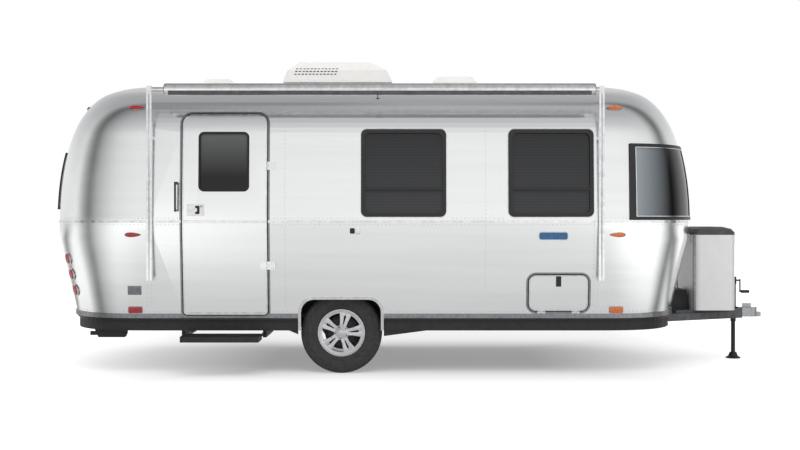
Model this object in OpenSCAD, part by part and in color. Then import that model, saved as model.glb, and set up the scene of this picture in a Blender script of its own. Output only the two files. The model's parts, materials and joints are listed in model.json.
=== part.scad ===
// Travel caravan: a single-axle trailer with a riveted aluminium shell, parked on its wheels and tongue jack.
// +X runs towards the hitch, the entry door is on the -Y side and +Z is up.
// The origin is the centre of the jack foot's underside, on the ground.

/* [Body shell] */
// Length of the shell at its belt
body_l = 5868; // [5800:1:7100]
// Width of the shell at its belt
body_w = 2438; // [2100:1:2600]
// Height of the roof's crown above the ground
crown_z = 2610; // [2450:1:3140]
// Height of the belt
belt_z = 1330; // [1250:1:1400]
// Height of the shell's lower edge
sill_z = 500; // [480:1:520]
// Thickness of the walls, roof, end caps and doors
wall_t = 50; // [35:1:62]
// Length of each rounded end cap
cap_l = 1000; // [900:1:1150]
// How far each side leans in from the belt down to the sill
sill_tuck = 69; // [40:1:90]
// How far each side leans in from the belt up to the shoulder
shoulder_tuck = 34; // [10:1:60]
// Height from the start of the shoulder up to the crown
shoulder_drop = 510; // [490:1:560]
// Radius of the shoulder
shoulder_r = 420; // [380:1:440]
// Distance from the jack to the shell's front at its belt
tongue_l = 545; // [500:1:620]

/* [End caps] */
// Exponent of the end caps' outline seen from above
plan_power = 2.8; // [2.2:0.1:3.4]
// Exponent of the end caps' rise towards the crown
rise_power = 2.1; // [1.8:0.1:2.6]
// Exponent of the end caps' run towards their ends
run_power = 3.2; // [2.4:0.1:3.6]
// Height below the belt at which the ends start to lean in
end_lean_drop = 160; // [80:1:300]
// Inset of the ends for each millimetre of height below that
end_lean = 0.245; // [0.1:0.005:0.3]

/* [Entry door] */
// Distance from the rear cap's joint to the doorway
door_offset = 284; // [250:1:400]
// Width of the doorway
door_w = 750; // [620:1:760]
// Height of the doorway's lower edge above the sill
door_rise = 10; // [5:1:60]
// Height from the doorway's top to the crown
door_top_drop = 342; // [330:1:420]
// Gap between a door or hatch and its opening
door_gap = 12; // [12:1:16]
// Distance from the doorway's rear edge to the door's window
door_window_offset = 155; // [120:1:180]
// Width of the door's window
door_window_w = 423; // [300:1:440]
// Height of the door's window
door_window_h = 502; // [300:1:520]
// Height from the door window's top to the doorway's top
door_window_drop = 170; // [160:1:220]

/* [Side windows] */
// Width of a side window over its frame
window_w = 736; // [560:1:740]
// Height from the belt up to a side window's frame
window_rise = 39; // [30:1:80]
// Height that a side window's frame reaches above the shoulder's start
window_over = 28; // [0:1:30]
// Face width of the window frames
frame_w = 34; // [24:1:44]
// How far the window frames stand out of the shell
frame_proud = 22; // [14:1:28]
// Thickness of the window panes
pane_t = 6; // [4:1:8]
// From the body's middle forwards to the middle side window's centre
mid_window_x = 270; // [250:1:300]
// Distance from the foremost side window to the front cap's joint
fore_window_offset = 23; // [15:1:40]
// Distance from the rear cap's joint to the rearmost window of the street side
aft_window_offset = 300; // [200:1:500]

/* [End windows] */
// Lower edge of the front window above the belt
front_window_rise = 13; // [13:1:40]
// Height of the front window
front_window_h = 664; // [500:1:680]
// Distance from the front cap's joint to the front window
front_window_offset = 289; // [260:1:360]
// Width of the front window's middle pane
front_centre_w = 1400; // [1200:1:1500]
// Width of the rear window
rear_window_w = 1180; // [900:1:1300]
// Height of the rear window
rear_window_h = 520; // [400:1:560]

/* [Storage hatch] */
// Width of the storage hatch's opening
hatch_w = 533; // [400:1:560]
// Height of the storage hatch's opening
hatch_h = 330; // [260:1:360]
// Height of the opening's lower edge above the sill
hatch_rise = 44; // [44:1:80]
// Distance from the storage hatch to the front cap's joint
hatch_offset = 54; // [40:1:100]

/* [Chassis] */
// Height of the chassis rails' underside
rail_z = 395; // [390:1:400]
// Width of a chassis or A-frame rail
rail_w = 50; // [40:1:60]
// Half the distance between the chassis rails' middles
rail_y = 600; // [500:1:640]
// Thickness of the cabin floor
floor_t = 30; // [20:1:40]
// Height of the belly pan's underside
belly_z = 380; // [370:1:384]
// How far the belly pan is set in from the sill
belly_inset = 16; // [12:1:30]
// Thickness of the belly pan's sheet
belly_t = 8; // [4:1:10]

/* [Running gear] */
// Radius of the tyres
tyre_r = 355; // [330:1:360]
// Width of the tyres
tyre_w = 225; // [185:1:235]
// Radius of the rims
rim_r = 214; // [190:1:220]
// Distance from the body's middle plane to a tyre's outer face
tyre_face_y = 1098; // [1070:1:1100]
// How far the axle lies behind the body's middle
axle_back = 274; // [240:1:320]
// Radius of the axle's spindles
spindle_r = 20; // [16:1:24]
// Half the width of a wheel arch over its trim
arch_half_w = 372; // [365:1:390]
// Height of a wheel arch over its trim
arch_z = 676; // [660:1:700]
// Face width of the wheel arch trim
arch_trim_w = 25; // [20:1:30]

/* [Tongue] */
// Distance from the jack forwards to the tow ball's centre
ball_x = 180; // [165:1:200]
// Radius of the coupler's ball socket
socket_r = 29.6; // [25.4:0.1:30]
// Height of the tow ball's centre
ball_z = 450; // [445:1:460]
// Half the angle between the A-frame's rails
a_frame_angle = 25; // [24:1:27]
// Radius of the jack's outer tube
jack_tube_r = 26; // [24:1:30]
// Radius of the jack's leg
jack_leg_r = 20; // [16:1:21]
// Height of the jack's top
jack_top_z = 790; // [760:1:850]
// Radius of the jack's foot
jack_foot_r = 70; // [55:1:80]
// Length of the gas cover
gas_l = 400; // [380:1:405]
// Width of the gas cover
gas_w = 660; // [650:1:700]
// Height of the gas cover's side above the A-frame
gas_h = 712; // [680:1:760]
// Height of the gas cover's lid
gas_lid_h = 75; // [60:1:80]
// Distance from the jack back to the gas cover
gas_back = 70; // [66:1:80]

/* [Roof equipment] */
// Length of the air conditioner
air_l = 1021; // [800:1:1100]
// Width of the air conditioner
air_w = 720; // [600:1:760]
// Height of the air conditioner above the crown
air_h = 220; // [180:1:240]
// Distance from the air conditioner's middle back to the body's middle
air_back = 348; // [300:1:400]

/* [Awning] */
// Radius of the rolled awning
awning_r = 53; // [45:1:58]
// Height of the rolled awning's axis below the crown
awning_drop = 145; // [140:1:170]
// Distance that the awning's arms stand clear of the belt
awning_stand = 20; // [18:1:26]

/* [Step and stabilisers] */
// Width of the entry step's tread
step_w = 666; // [560:1:680]
// Depth of the entry step's tread
step_d = 250; // [200:1:250]
// Height of the entry step's tread
step_z = 352; // [345:1:354]
// How far the tread stands out of the sill when it is pulled out
step_out = 240; // [200:1:250]
// Length of a stabiliser's leg from its pin
stabiliser_l = 310; // [260:1:318]

/* [Hidden] */
$fn = 48;
seat = 0.3;          // gap between pieces that rest on each other
end_seat = 1.7;      // gap between an end cap and the windows that follow its curve
run_fit = 0.05;      // radial clearance of a pin or shaft in its bore
slice = 0.1;         // height of the slices that the end caps are hulled from
over = 20;           // how far a cutter reaches past what it cuts
arc_step = 6;        // angle between the points of a rounded outline
cap_steps = 36;      // points round an end cap's outline
rise_steps = 16;     // slices between the belt and the crown

half_w = body_w / 2;
mid_x = -tongue_l - body_l / 2;
front_join = -tongue_l - cap_l;
rear_join = -tongue_l - body_l + cap_l;
shell_h = crown_z - sill_z;
shoulder_z = crown_z - shoulder_drop;
upper_lean = atan(shoulder_tuck / (shoulder_z - belt_z));
lower_lean = atan(sill_tuck / (belt_z - sill_z));
lean_z = belt_z - end_lean_drop;
// Centre of the shoulder's arc, and the crown's arc that meets it smoothly
shoulder_cy = half_w - shoulder_tuck - shoulder_r * cos(upper_lean);
shoulder_cz = shoulder_z - shoulder_r * sin(upper_lean);
crown_rise = crown_z - shoulder_cz;
crown_r = (crown_rise ^ 2 + shoulder_cy ^ 2 - shoulder_r ^ 2) / (2 * (crown_rise - shoulder_r));
crown_cz = crown_z - crown_r;
crown_half = atan2(shoulder_cy, shoulder_cz - crown_cz);
crown_join_z = shoulder_cz + shoulder_r * cos(crown_half);
// The inner face of the shell is the outer one scaled by these
inner_x = (cap_l - wall_t) / cap_l;
inner_y = (half_w - wall_t) / half_w;
inner_z = (shell_h - wall_t) / shell_h;

floor_top = sill_z - seat;
floor_z = floor_top - floor_t;
wheel_x = mid_x - axle_back;
wheel_y = tyre_face_y - tyre_w / 2;
door_x0 = rear_join + door_offset;
door_x1 = door_x0 + door_w;
door_z0 = sill_z + door_rise;
door_z1 = crown_z - door_top_drop;
door_corner = 90;
hinge_stand = 14;    // from the belt out to the entry door's hinge axis
hinge_h = 70;
hinge_y = half_w + hinge_stand;
door_hinge_zs = [door_z0 + 440, door_z1 - 458];
hatch_x1 = front_join - hatch_offset;
hatch_x0 = hatch_x1 - hatch_w;
hatch_z0 = sill_z + hatch_rise;
hatch_z1 = hatch_z0 + hatch_h;
hatch_corner = 70;
hatch_stand = 10;
front_window_z0 = belt_z + front_window_rise;
front_window_z1 = front_window_z0 + front_window_h;
rear_window_z0 = belt_z + 110;
pane_lap = 26;       // how far an end window laps over the edge of its opening
arm_t = 22;          // thickness of the awning's arms
arm_y = half_w + awning_stand;
awning_z = crown_z - awning_drop;
rail_top = 488;
rail_h = rail_top - rail_z;
gas_z0 = rail_top + seat;
gas_z1 = gas_z0 + gas_h;
gas_t = 8;
step_x0 = door_x0 + 21;
step_y1 = half_w - sill_tuck + step_out;

// Half-width of the shell at a height
function half_width(z) =
    z <= belt_z ? half_w - sill_tuck * (belt_z - z) / (belt_z - sill_z)
    : z <= shoulder_z ? half_w - shoulder_tuck * (z - belt_z) / (shoulder_z - belt_z)
    : z <= crown_join_z ? shoulder_cy + sqrt(max(0, shoulder_r ^ 2 - (z - shoulder_cz) ^ 2))
    : sqrt(max(0, crown_r ^ 2 - (z - crown_cz) ^ 2));

// Inset of an end of the shell from its place at the belt
function end_inset(z) =
    z < lean_z ? (lean_z - z) * end_lean
    : z <= belt_z ? 0
    : cap_l * (1 - pow(1 - pow((z - belt_z) / (crown_z - belt_z), rise_power), 1 / run_power));

// How far an end cap reaches from its joint at a height
function cap_reach(z) = cap_l - end_inset(z);

// Half outline of an end cap seen from above, with x = 0 at its joint, grown by g
function cap_outline(z, g = 0) = [for (i = [0 : cap_steps]) let (t = -90 + 180 * i / cap_steps)
    [(cap_reach(z) + g) * pow(cos(t), 2 / plan_power),
     (half_width(z) + g) * sign(t) * pow(abs(sin(t)), 2 / plan_power)]];

// Whole outline of the body seen from above, grown by g
function plan_outline(z, g = 0) = concat(
    [for (p = cap_outline(z, g)) [front_join + p.x, p.y]],
    [for (p = cap_outline(z, g)) [rear_join - p.x, -p.y]]);

// Half-width of the skin at a place along the body and a height
function past_join(x) = max(0, x - front_join, rear_join - x);
function skin_y(x, z) =
    half_width(z) * pow(max(0, 1 - pow(past_join(x) / cap_reach(z), plan_power)), 1 / plan_power);

// Reach of an end cap at a distance from the middle plane and a height
function skin_x(y, z) =
    cap_reach(z) * pow(max(0, 1 - pow(abs(y) / half_width(z), plan_power)), 1 / plan_power);

// Rectangle with rounded corners: r0 at the bottom and r1 at the top
function round_rect(x0, z0, x1, z1, r0, r1) = [
    for (c = [[x1 - r0, z0 + r0, r0, -90], [x1 - r1, z1 - r1, r1, 0],
              [x0 + r1, z1 - r1, r1, 90], [x0 + r0, z0 + r0, r0, 180]])
        for (a = [0 : 90 / 5 : 90]) [c.x + c.z * cos(c[3] + a), c.y + c.z * sin(c[3] + a)]];

// Outer line of one side wall in the Y-Z plane, from the sill to its joint with the roof
side_line = concat(
    [[half_width(sill_z), sill_z], [half_w, belt_z]],
    [for (a = [upper_lean : (90 - crown_half - upper_lean) / 12 : 90.01 - crown_half])
        [shoulder_cy + shoulder_r * cos(a), shoulder_cz + shoulder_r * sin(a)]]);
roof_line = [for (a = [crown_half : -crown_half / 8 : -crown_half - 0.01])
    [crown_r * sin(a), crown_cz + crown_r * cos(a)]];
function inward(p) = [p.x * inner_y, sill_z + (p.y - sill_z) * inner_z];
function reversed(v) = [for (i = [len(v) - 1 : -1 : 0]) v[i]];
function panel_section(line) = concat(line, [for (p = reversed(line)) inward(p)]);

// Turns an outline in Y-Z into a bar along X
module along_x(x0, x1) translate([x0, 0, 0]) rotate([90, 0, 90]) linear_extrude(x1 - x0) children();

// Turns an outline in X-Z into a plate between two values of Y
module along_y(y0, y1) translate([0, y1, 0]) rotate([90, 0, 0]) linear_extrude(y1 - y0) children();

module side_wall_blank() mirror([0, 1, 0]) along_x(rear_join, front_join) polygon(panel_section(side_line));

// Places a child on the door side's flank above the belt: x along the body, z up the flank, -y outwards
module on_flank() translate([0, -half_w, belt_z]) rotate([-upper_lean, 0, 0]) children();

// The same below the belt
module on_lower_flank() translate([0, -half_w, belt_z]) rotate([lower_lean, 0, 0]) children();

// Places a child on the door side's skin, with -y outwards
module on_skin(x, z) {
    yx = skin_y(x + 0.5, z) - skin_y(x - 0.5, z);
    yz = skin_y(x, z + 0.5) - skin_y(x, z - 0.5);
    translate([x, -skin_y(x, z), z])
        rotate([asin(yz / norm([yx, 1, yz])), 0, -atan(yx)]) children();
}

// Places a child on the front end, with -y outwards
module on_front(y, z) {
    xy = skin_x(y + 0.5, z) - skin_x(y - 0.5, z);
    xz = skin_x(y, z + 0.5) - skin_x(y, z - 0.5);
    translate([front_join + skin_x(y, z), y, z])
        rotate([asin(xz / norm([xy, 1, xz])), 0, atan2(1, xy)]) children();
}

module on_rear(y, z) translate([rear_join + front_join, 0, 0]) mirror([1, 0, 0]) on_front(y, z) children();

module both_sides() {
    children();
    mirror([0, 1, 0]) children();
}

// Solid end cap between the heights in zs, grown by g
module cap_solid(zs, g = 0) {
    for (i = [0 : len(zs) - 2]) hull() for (z = [zs[i], zs[i + 1]])
        translate([0, 0, z]) linear_extrude(slice) polygon(cap_outline(z, g));
}

cap_levels = concat([sill_z, lean_z],
    [for (i = [0 : rise_steps - 1]) belt_z + (crown_z - belt_z) * sin(90 * i / rise_steps)],
    [crown_z - 1]);

module cap_shell() difference() {
    cap_solid(cap_levels);
    translate([-1, 0, sill_z - 1]) scale([inner_x, inner_y, inner_z]) translate([0, 0, -sill_z])
        cap_solid(cap_levels);
}

// A band that follows the cap's skin between two heights, t thick, end_seat outside the skin
module cap_band(z0, z1, t) {
    zs = [for (z = cap_levels) if (z > z0 - 200 && z < z1 + 200) z];
    difference() {
        intersection() {
            cap_solid(zs, end_seat + t);
            translate([0, -body_w, z0]) cube([2 * cap_l, 2 * body_w, z1 - z0]);
        }
        translate([-1, 0, 0]) cap_solid(zs, end_seat);
    }
}

// Cutter for the front window, with its edges moved out by g
module front_window_area(g) {
    translate([front_window_offset - g, -half_w - over, front_window_z0 - g])
        cube([cap_l + 2 * over, body_w + 2 * over, front_window_h + 2 * g]);
}

module rear_window_area(g) along_x(0, cap_l + 2 * over)
    polygon(round_rect(-rear_window_w / 2 - g, rear_window_z0 - g, rear_window_w / 2 + g,
                       rear_window_z0 + rear_window_h + g, 50 + g, 50 + g));

module front_cap() color("silver") translate([front_join, 0, 0]) difference() {
    cap_shell();
    front_window_area(-pane_lap);
}

module rear_cap() color("silver") translate([rear_join, 0, 0]) mirror([1, 0, 0]) difference() {
    cap_shell();
    rear_window_area(-pane_lap);
}

module front_window() color([0.1, 0.11, 0.13]) translate([front_join, 0, 0]) difference() {
    intersection() {
        cap_band(front_window_z0, front_window_z1, frame_proud);
        front_window_area(0);
    }
    for (s = [-1, 1]) translate([0, s * front_centre_w / 2 - 2, 0]) cube([2 * cap_l, 4, crown_z]);
}

module rear_window() color([0.1, 0.11, 0.13]) translate([rear_join, 0, 0]) mirror([1, 0, 0]) intersection() {
    cap_band(rear_window_z0, rear_window_z0 + rear_window_h, frame_proud);
    rear_window_area(0);
}

function door_outline(g) = round_rect(door_x0 + g, door_z0 + g, door_x1 - g, door_z1 - g, 40, door_corner);
function hatch_outline(g) = round_rect(hatch_x0 + g, hatch_z0 + g, hatch_x1 - g, hatch_z1 - g,
                                       hatch_corner, hatch_corner);
door_window_x0 = door_x0 + door_window_offset;
door_window_z1 = door_z1 - door_window_drop;
function door_window_outline(g) = round_rect(door_window_x0 + g, door_window_z1 - door_window_h + g,
    door_window_x0 + door_window_w - g, door_window_z1 - g, 40, 40);

// The side windows' places: [x of the rear edge, on the street side only]
windows = [[mid_x + mid_window_x - window_w / 2, false], [front_join - fore_window_offset - window_w, false],
           [rear_join + aft_window_offset, true]];
window_top = shoulder_z - belt_z + window_over;
function window_outline(x, g) = round_rect(x + g, window_rise + g, x + window_w - g, window_top - g, 50, 50);

module window_opening(x) on_flank() along_y(-over - wall_t, over + wall_t) polygon(window_outline(x, -seat));

// Openings that both side walls have
module wall_openings() {
    for (w = windows) if (!w[1]) window_opening(w.x);
    arch_opening();
}

arch_in = arch_half_w - arch_trim_w;
module arch_opening() along_y(-half_w - over, -half_w + sill_tuck + 2 * wall_t)
    polygon(round_rect(wheel_x - arch_in, sill_z - 2 * over, wheel_x + arch_in, arch_z - arch_trim_w, 5, 110));

module wall_door_side() color("silver") difference() {
    side_wall_blank();
    wall_openings();
    along_y(-half_w - over, -half_w / 2) polygon(door_outline(0));
    along_y(-half_w - over, -half_w / 2) polygon(hatch_outline(0));
}

module wall_street_side() color("silver") mirror([0, 1, 0]) difference() {
    side_wall_blank();
    wall_openings();
    for (w = windows) if (w[1]) window_opening(w.x);
}

module roof_panel() color("silver") along_x(rear_join, front_join) polygon(panel_section(roof_line));

module wheel_cuts(g, z0, z1) both_sides()
    translate([wheel_x - tyre_r - 22 - g, -tyre_face_y - over * 3, z0])
        cube([2 * (tyre_r + 22 + g), tyre_w + over * 3 + 22 + g, z1 - z0]);

module cabin_floor() color("burlywood") difference() {
    translate([0, 0, floor_z]) linear_extrude(floor_t) polygon(plan_outline(sill_z));
    wheel_cuts(0, floor_z - 1, floor_top + 1);
}

// The sheet under the chassis
module belly_pan() color([0.17, 0.17, 0.18]) difference() {
    translate([0, 0, belly_z]) linear_extrude(belly_t) polygon(plan_outline(sill_z, -belly_inset));
    wheel_cuts(0, belly_z - 1, floor_z + 1);
}

// The band round the chassis, from that sheet up to the floor
module belly_skirt() color([0.17, 0.17, 0.18]) difference() {
    skirt_z = belly_z + belly_t + seat;
    translate([0, 0, skirt_z]) linear_extrude(floor_z - seat - skirt_z) polygon(plan_outline(sill_z, -belly_inset));
    translate([0, 0, skirt_z - 1]) linear_extrude(floor_z - belly_z)
        polygon(plan_outline(sill_z, -belly_inset - belly_t));
    wheel_cuts(0, belly_z - 1, floor_z + 1);
    // way out for the A-frame's rails
    translate([front_join + cap_l / 2, -rail_y - rail_w, rail_z - seat]) cube([cap_l, 2 * (rail_y + rail_w), rail_h]);
}

module trim_ring(z0, z1, g) difference() {
    translate([0, 0, z0]) linear_extrude(z1 - z0) polygon(plan_outline(min(z1, belt_z), seat + g));
    translate([0, 0, z0 - 1]) linear_extrude(z1 - z0 + 2) polygon(plan_outline(min(z1, belt_z), seat));
}

module belt_trim() color("gainsboro") difference() {
    trim_ring(belt_z - 12, belt_z + 10, 7);
    along_y(-half_w - over, -half_w / 2) polygon(door_outline(0));
}

rub_z0 = 490;
rub_z1 = 527;
module rub_rail() color("gainsboro") difference() {
    trim_ring(rub_z0, rub_z1, 12);
    along_y(-half_w - over, half_w + over)
        polygon(round_rect(wheel_x - arch_half_w - 1, sill_z - 2 * over, wheel_x + arch_half_w + 1, arch_z + 1,
                           5, 5));
    along_y(-half_w - over, 0) polygon(round_rect(door_x0 - 4, sill_z - 2 * over, door_x1 + 4, door_z1, 5, 5));
}

mid_rail_u = 280;    // height of the windows' middle rail above the belt
mid_rail_h = 24;
module window_frame(x) {
    along_y(-frame_proud, wall_t - 12) difference() {
        polygon(window_outline(x, 0));
        polygon(window_outline(x, frame_w));
    }
    translate([x + frame_w - 1, -frame_proud + 4, mid_rail_u - mid_rail_h / 2])
        cube([window_w - 2 * frame_w + 2, frame_proud - 6, mid_rail_h]);
}

module window_pane(x) along_y(2, 2 + pane_t) polygon(window_outline(x, frame_w + seat));

module side_window_frames() color("dimgray") {
    for (w = windows) if (!w[1]) both_sides() on_flank() window_frame(w.x);
    for (w = windows) if (w[1]) mirror([0, 1, 0]) on_flank() window_frame(w.x);
}

module side_window_panes() color([0.1, 0.11, 0.13]) {
    for (w = windows) if (!w[1]) both_sides() on_flank() window_pane(w.x);
    for (w = windows) if (w[1]) mirror([0, 1, 0]) on_flank() window_pane(w.x);
}

// Hinges: the axis is the local Z, the skin lies at y = stand, the fixed leaf at +x and the moving one at -x
pin_r = 5;
knuckle_r = 9;
leaf_w = 52;
leaf_y = 2;          // from the axis to the leaves' outer face
module hinge_fixed(h, stand, leaf = leaf_w) {
    cylinder(r = pin_r, h = h, center = true);
    for (s = [-1, 1]) translate([0, 0, s * h / 3]) {
        cylinder(r = knuckle_r, h = h / 3 - 1, center = true);
        translate([0, leaf_y - knuckle_r / 2, -h / 6 + 1])
            cube([knuckle_r + 4, stand - 1 - leaf_y + knuckle_r / 2, h / 3 - 2]);
    }
    translate([knuckle_r + 2, leaf_y, -h / 2 + 0.5]) cube([leaf, stand - seat - leaf_y, h - 1]);
}

// Room for the knuckles in the panels beside them
module hinge_pocket(h) cube([2 * knuckle_r + 5, 2 * knuckle_r + 5, h], center = true);

// The moving leaf reaches depth beyond the skin, into the panel that carries it
module hinge_moving(h, stand, depth) difference() {
    union() {
        cylinder(r = knuckle_r, h = h / 3 - 1, center = true);
        translate([-knuckle_r - 4, leaf_y - knuckle_r / 2, -h / 6 + 0.5])
            cube([knuckle_r + 4, stand - 5 - leaf_y + knuckle_r / 2, h / 3 - 1]);
        translate([-knuckle_r - 2 - leaf_w, leaf_y, -h / 2 + 0.5]) cube([leaf_w, stand + depth - leaf_y, h - 1]);
    }
    cylinder(r = pin_r + run_fit, h = h, center = true);
}

module at_door_hinges() for (z = door_hinge_zs) translate([door_x1, -hinge_y, z]) children();
function door_stand(z) = hinge_y - half_width(z + sign(belt_z - z) * hinge_h / 2);

hatch_leaf = 3;      // the leaf ends just above the rub rail
hatch_hinge_z = hatch_z0 - 2;
module at_hatch_hinges() for (k = [0.22, 0.78])
    translate([hatch_x0 + k * hatch_w, -half_width(hatch_hinge_z) - hatch_stand, hatch_hinge_z])
        rotate([lower_lean, 0, 0]) rotate([0, 90, 0]) children();

lid_stand = 9;
lid_hinge_x = -gas_back - gas_l - lid_stand;
lid_z = gas_z1 + 1;
module at_lid_hinges() for (s = [-1, 1]) translate([lid_hinge_x, s * gas_w / 4, lid_z])
    rotate([0, 0, -90]) rotate([0, 90, 0]) children();

module hinge_brackets() color("silver") {
    for (z = door_hinge_zs) translate([door_x1, -hinge_y, z]) hinge_fixed(hinge_h, door_stand(z));
    at_hatch_hinges() hinge_fixed(hinge_h, hatch_stand, hatch_leaf);
}

module entry_door() color("silver") {
    difference() {
        intersection() {
            side_wall_blank();
            along_y(-half_w - over, -half_w / 2) polygon(door_outline(door_gap));
        }
        along_y(-half_w - over, -half_w / 2) polygon(door_window_outline(0));
        at_door_hinges() hinge_pocket(hinge_h + 2);
    }
    for (z = door_hinge_zs) translate([door_x1, -hinge_y, z]) hinge_moving(hinge_h, door_stand(z), 12);
}

// The door's window lies flat, along the line of the flank
module door_window() color([0.1, 0.11, 0.13]) on_flank() along_y(8, 8 + pane_t)
    polygon(round_rect(door_window_x0 + 1, door_window_z1 - door_window_h - belt_z + 2,
                       door_window_x0 + door_window_w - 1, door_window_z1 - belt_z - 2, 40, 40));

handle_w = 150;
handle_h = 104;
module door_handle() color("gainsboro") on_flank()
    along_y(-20, -seat) polygon(round_rect(door_x0 + 49, 47, door_x0 + 49 + handle_w, 47 + handle_h, 12, 12));

module storage_hatch() color("silver") {
    difference() {
        intersection() {
            side_wall_blank();
            along_y(-half_w - over, -half_w / 2) polygon(hatch_outline(door_gap));
        }
        at_hatch_hinges() hinge_pocket(hinge_h + 2);
    }
    at_hatch_hinges() hinge_moving(hinge_h, hatch_stand, 12);
}

module hatch_latch() color([0.15, 0.15, 0.15]) on_lower_flank()
    translate([(hatch_x0 + hatch_x1) / 2 - 22, -12, hatch_z1 - belt_z - 110]) cube([44, 12 - seat, 90]);

module chassis_frame() color([0.2, 0.2, 0.2]) {
    x0 = rear_join - cap_l / 2;
    x1 = front_join + cap_l / 3;
    for (s = [-1, 1]) translate([x0, s * rail_y - rail_w / 2, rail_z]) cube([x1 - x0, rail_w, floor_z - seat - rail_z]);
    for (x = [x0 + 200, rear_join + 300, wheel_x + 700, front_join - 300, x1 - 120])
        translate([x, -rail_y + rail_w / 2, rail_z]) cube([rail_w, 2 * rail_y - rail_w, floor_z - seat - rail_z]);
}

nose_x = 60;         // where the A-frame's rails meet the coupler's plate
module a_frame() color([0.42, 0.43, 0.44]) {
    for (s = [-1, 1]) translate([nose_x, s * 40, rail_z]) rotate([0, 0, s * -a_frame_angle])
        translate([-a_frame_l, -rail_w / 2, 0]) cube([a_frame_l, rail_w, rail_h - 26]);
    difference() {
        a_frame_plate(rail_top - 26 + seat, rail_top);
        translate([0, 0, rail_z]) cylinder(r = jack_tube_r + seat, h = 2 * rail_h);
    }
}

// Top plate of the A-frame, which carries the coupler, the jack and the gas cover's tray
a_frame_l = 1050;
module a_frame_plate(z0, z1) translate([0, 0, z0]) linear_extrude(z1 - z0)
    polygon([[nose_x + 10, -62], [nose_x + 10, 62], [nose_x - 60, 90],
             [-gas_back - gas_l - 175, 350], [-gas_back - gas_l - 175, -350], [nose_x - 60, -90]]);

module axle() color([0.25, 0.25, 0.26]) {
    beam_x = wheel_x + 170;
    beam_top = belly_z - seat;
    arm_in = tyre_face_y - tyre_w - 40;
    translate([beam_x - 40, -arm_in, beam_top - 76]) cube([80, 2 * arm_in, 76]);
    for (s = [-1, 1]) {
        translate([wheel_x - 30, s > 0 ? arm_in - 26 : -arm_in, tyre_r - 32]) cube([240, 26, 52]);
        translate([wheel_x, s * arm_in, tyre_r]) rotate([-90 * s, 0, 0])
            translate([0, 0, -13]) cylinder(r = spindle_r, h = tyre_face_y - 70 - arm_in);
    }
}

housing_t = 8;
module wheel_housings() color([0.13, 0.13, 0.13]) both_sides() difference() {
    half_l = tyre_r + 30;
    inner = tyre_face_y - tyre_w - 32;
    outer = half_width(sill_z) * inner_y;
    rise = 2 * tyre_r + 66 - sill_z;
    translate([wheel_x - half_l, -outer + 2, sill_z]) cube([2 * half_l, outer - inner, rise]);
    translate([wheel_x - half_l + housing_t, -half_w, sill_z - 1])
        cube([2 * (half_l - housing_t), half_w - inner - 2 - housing_t, rise - housing_t]);
}

module wheel_arch_trims() color("gainsboro") both_sides() on_lower_flank() along_y(-12, -seat) difference() {
    polygon(round_rect(wheel_x - arch_half_w, belly_z - belt_z, wheel_x + arch_half_w, arch_z - belt_z, 4, 130));
    polygon(round_rect(wheel_x - arch_in, belly_z - belt_z - 9, wheel_x + arch_in, arch_z - arch_trim_w - belt_z,
                       4, 110));
}

// A ring turned about the wheel's axis from an outline of [radius, distance inwards from the tyre's face]
module turned(side) translate([wheel_x, side * tyre_face_y, tyre_r]) rotate([90 * side, 0, 0])
    rotate_extrude($fn = 96) children();

bead_r = rim_r - 8;
module tyre(side) color([0.2, 0.2, 0.2]) turned(side) polygon([
    [bead_r + seat, 22], [bead_r + 30, 6], [tyre_r - 70, 0], [tyre_r - 22, 8], [tyre_r - 6, 24], [tyre_r, 44],
    [tyre_r, tyre_w - 44], [tyre_r - 6, tyre_w - 24], [tyre_r - 22, tyre_w - 8], [tyre_r - 70, tyre_w],
    [bead_r + 30, tyre_w - 6], [bead_r + seat, tyre_w - 22]]);

barrel_t = 10;
hub_r = 70;
drum_r = 150;
drum_end = tyre_w + 14;   // the brake drum's inner face, from the tyre's outer face
disc_hole_at = 138;
disc_hole_r = 34;
module rim(side) color("silver") difference() {
    union() {
        turned(side) polygon([[bead_r - barrel_t, 24], [bead_r, 24], [bead_r, tyre_w - 24],
                              [bead_r - barrel_t, tyre_w - 24]]);
        turned(side) polygon([[0, 34], [50, 30], [62, 46], [bead_r - 5, 40], [bead_r - 5, 62], [hub_r, 74],
                              [hub_r, tyre_w - 60], [drum_r, tyre_w - 58], [drum_r, drum_end], [0, drum_end]]);
    }
    turned(side) polygon([[0, 60], [spindle_r + run_fit, 60], [spindle_r + run_fit, drum_end + 6],
                          [0, drum_end + 6]]);
    for (a = [0 : 72 : 288]) translate([wheel_x, side * tyre_face_y, tyre_r]) rotate([90 * side, 0, 0])
        rotate([0, 0, a]) translate([disc_hole_at, 0, -1]) cylinder(r = disc_hole_r, h = 90);
}

module left_tyre() tyre(1);
module right_tyre() tyre(-1);
module left_rim() rim(1);
module right_rim() rim(-1);

lip_w = 60;          // the lip in front of the ball socket
module coupler() color([0.5, 0.5, 0.51]) difference() {
    coupler_r = socket_r + 18;
    coupler_z = rail_z + 10;
    coupler_h = rail_top - rail_z - 4;
    union() {
        translate([nose_x + 10 + seat, -52, coupler_z]) cube([ball_x - nose_x - 10, 104, coupler_h]);
        translate([ball_x, 0, coupler_z]) cylinder(r = coupler_r, h = coupler_h);
        translate([ball_x, -lip_w / 2, coupler_z]) cube([coupler_r + 32, lip_w, coupler_h / 2]);
        translate([ball_x - 90, -14, coupler_z + coupler_h - 1]) cube([80, 28, 40]);
    }
    translate([ball_x, 0, rail_z]) cylinder(r = socket_r, h = ball_z + 15 - rail_z);
}

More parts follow.
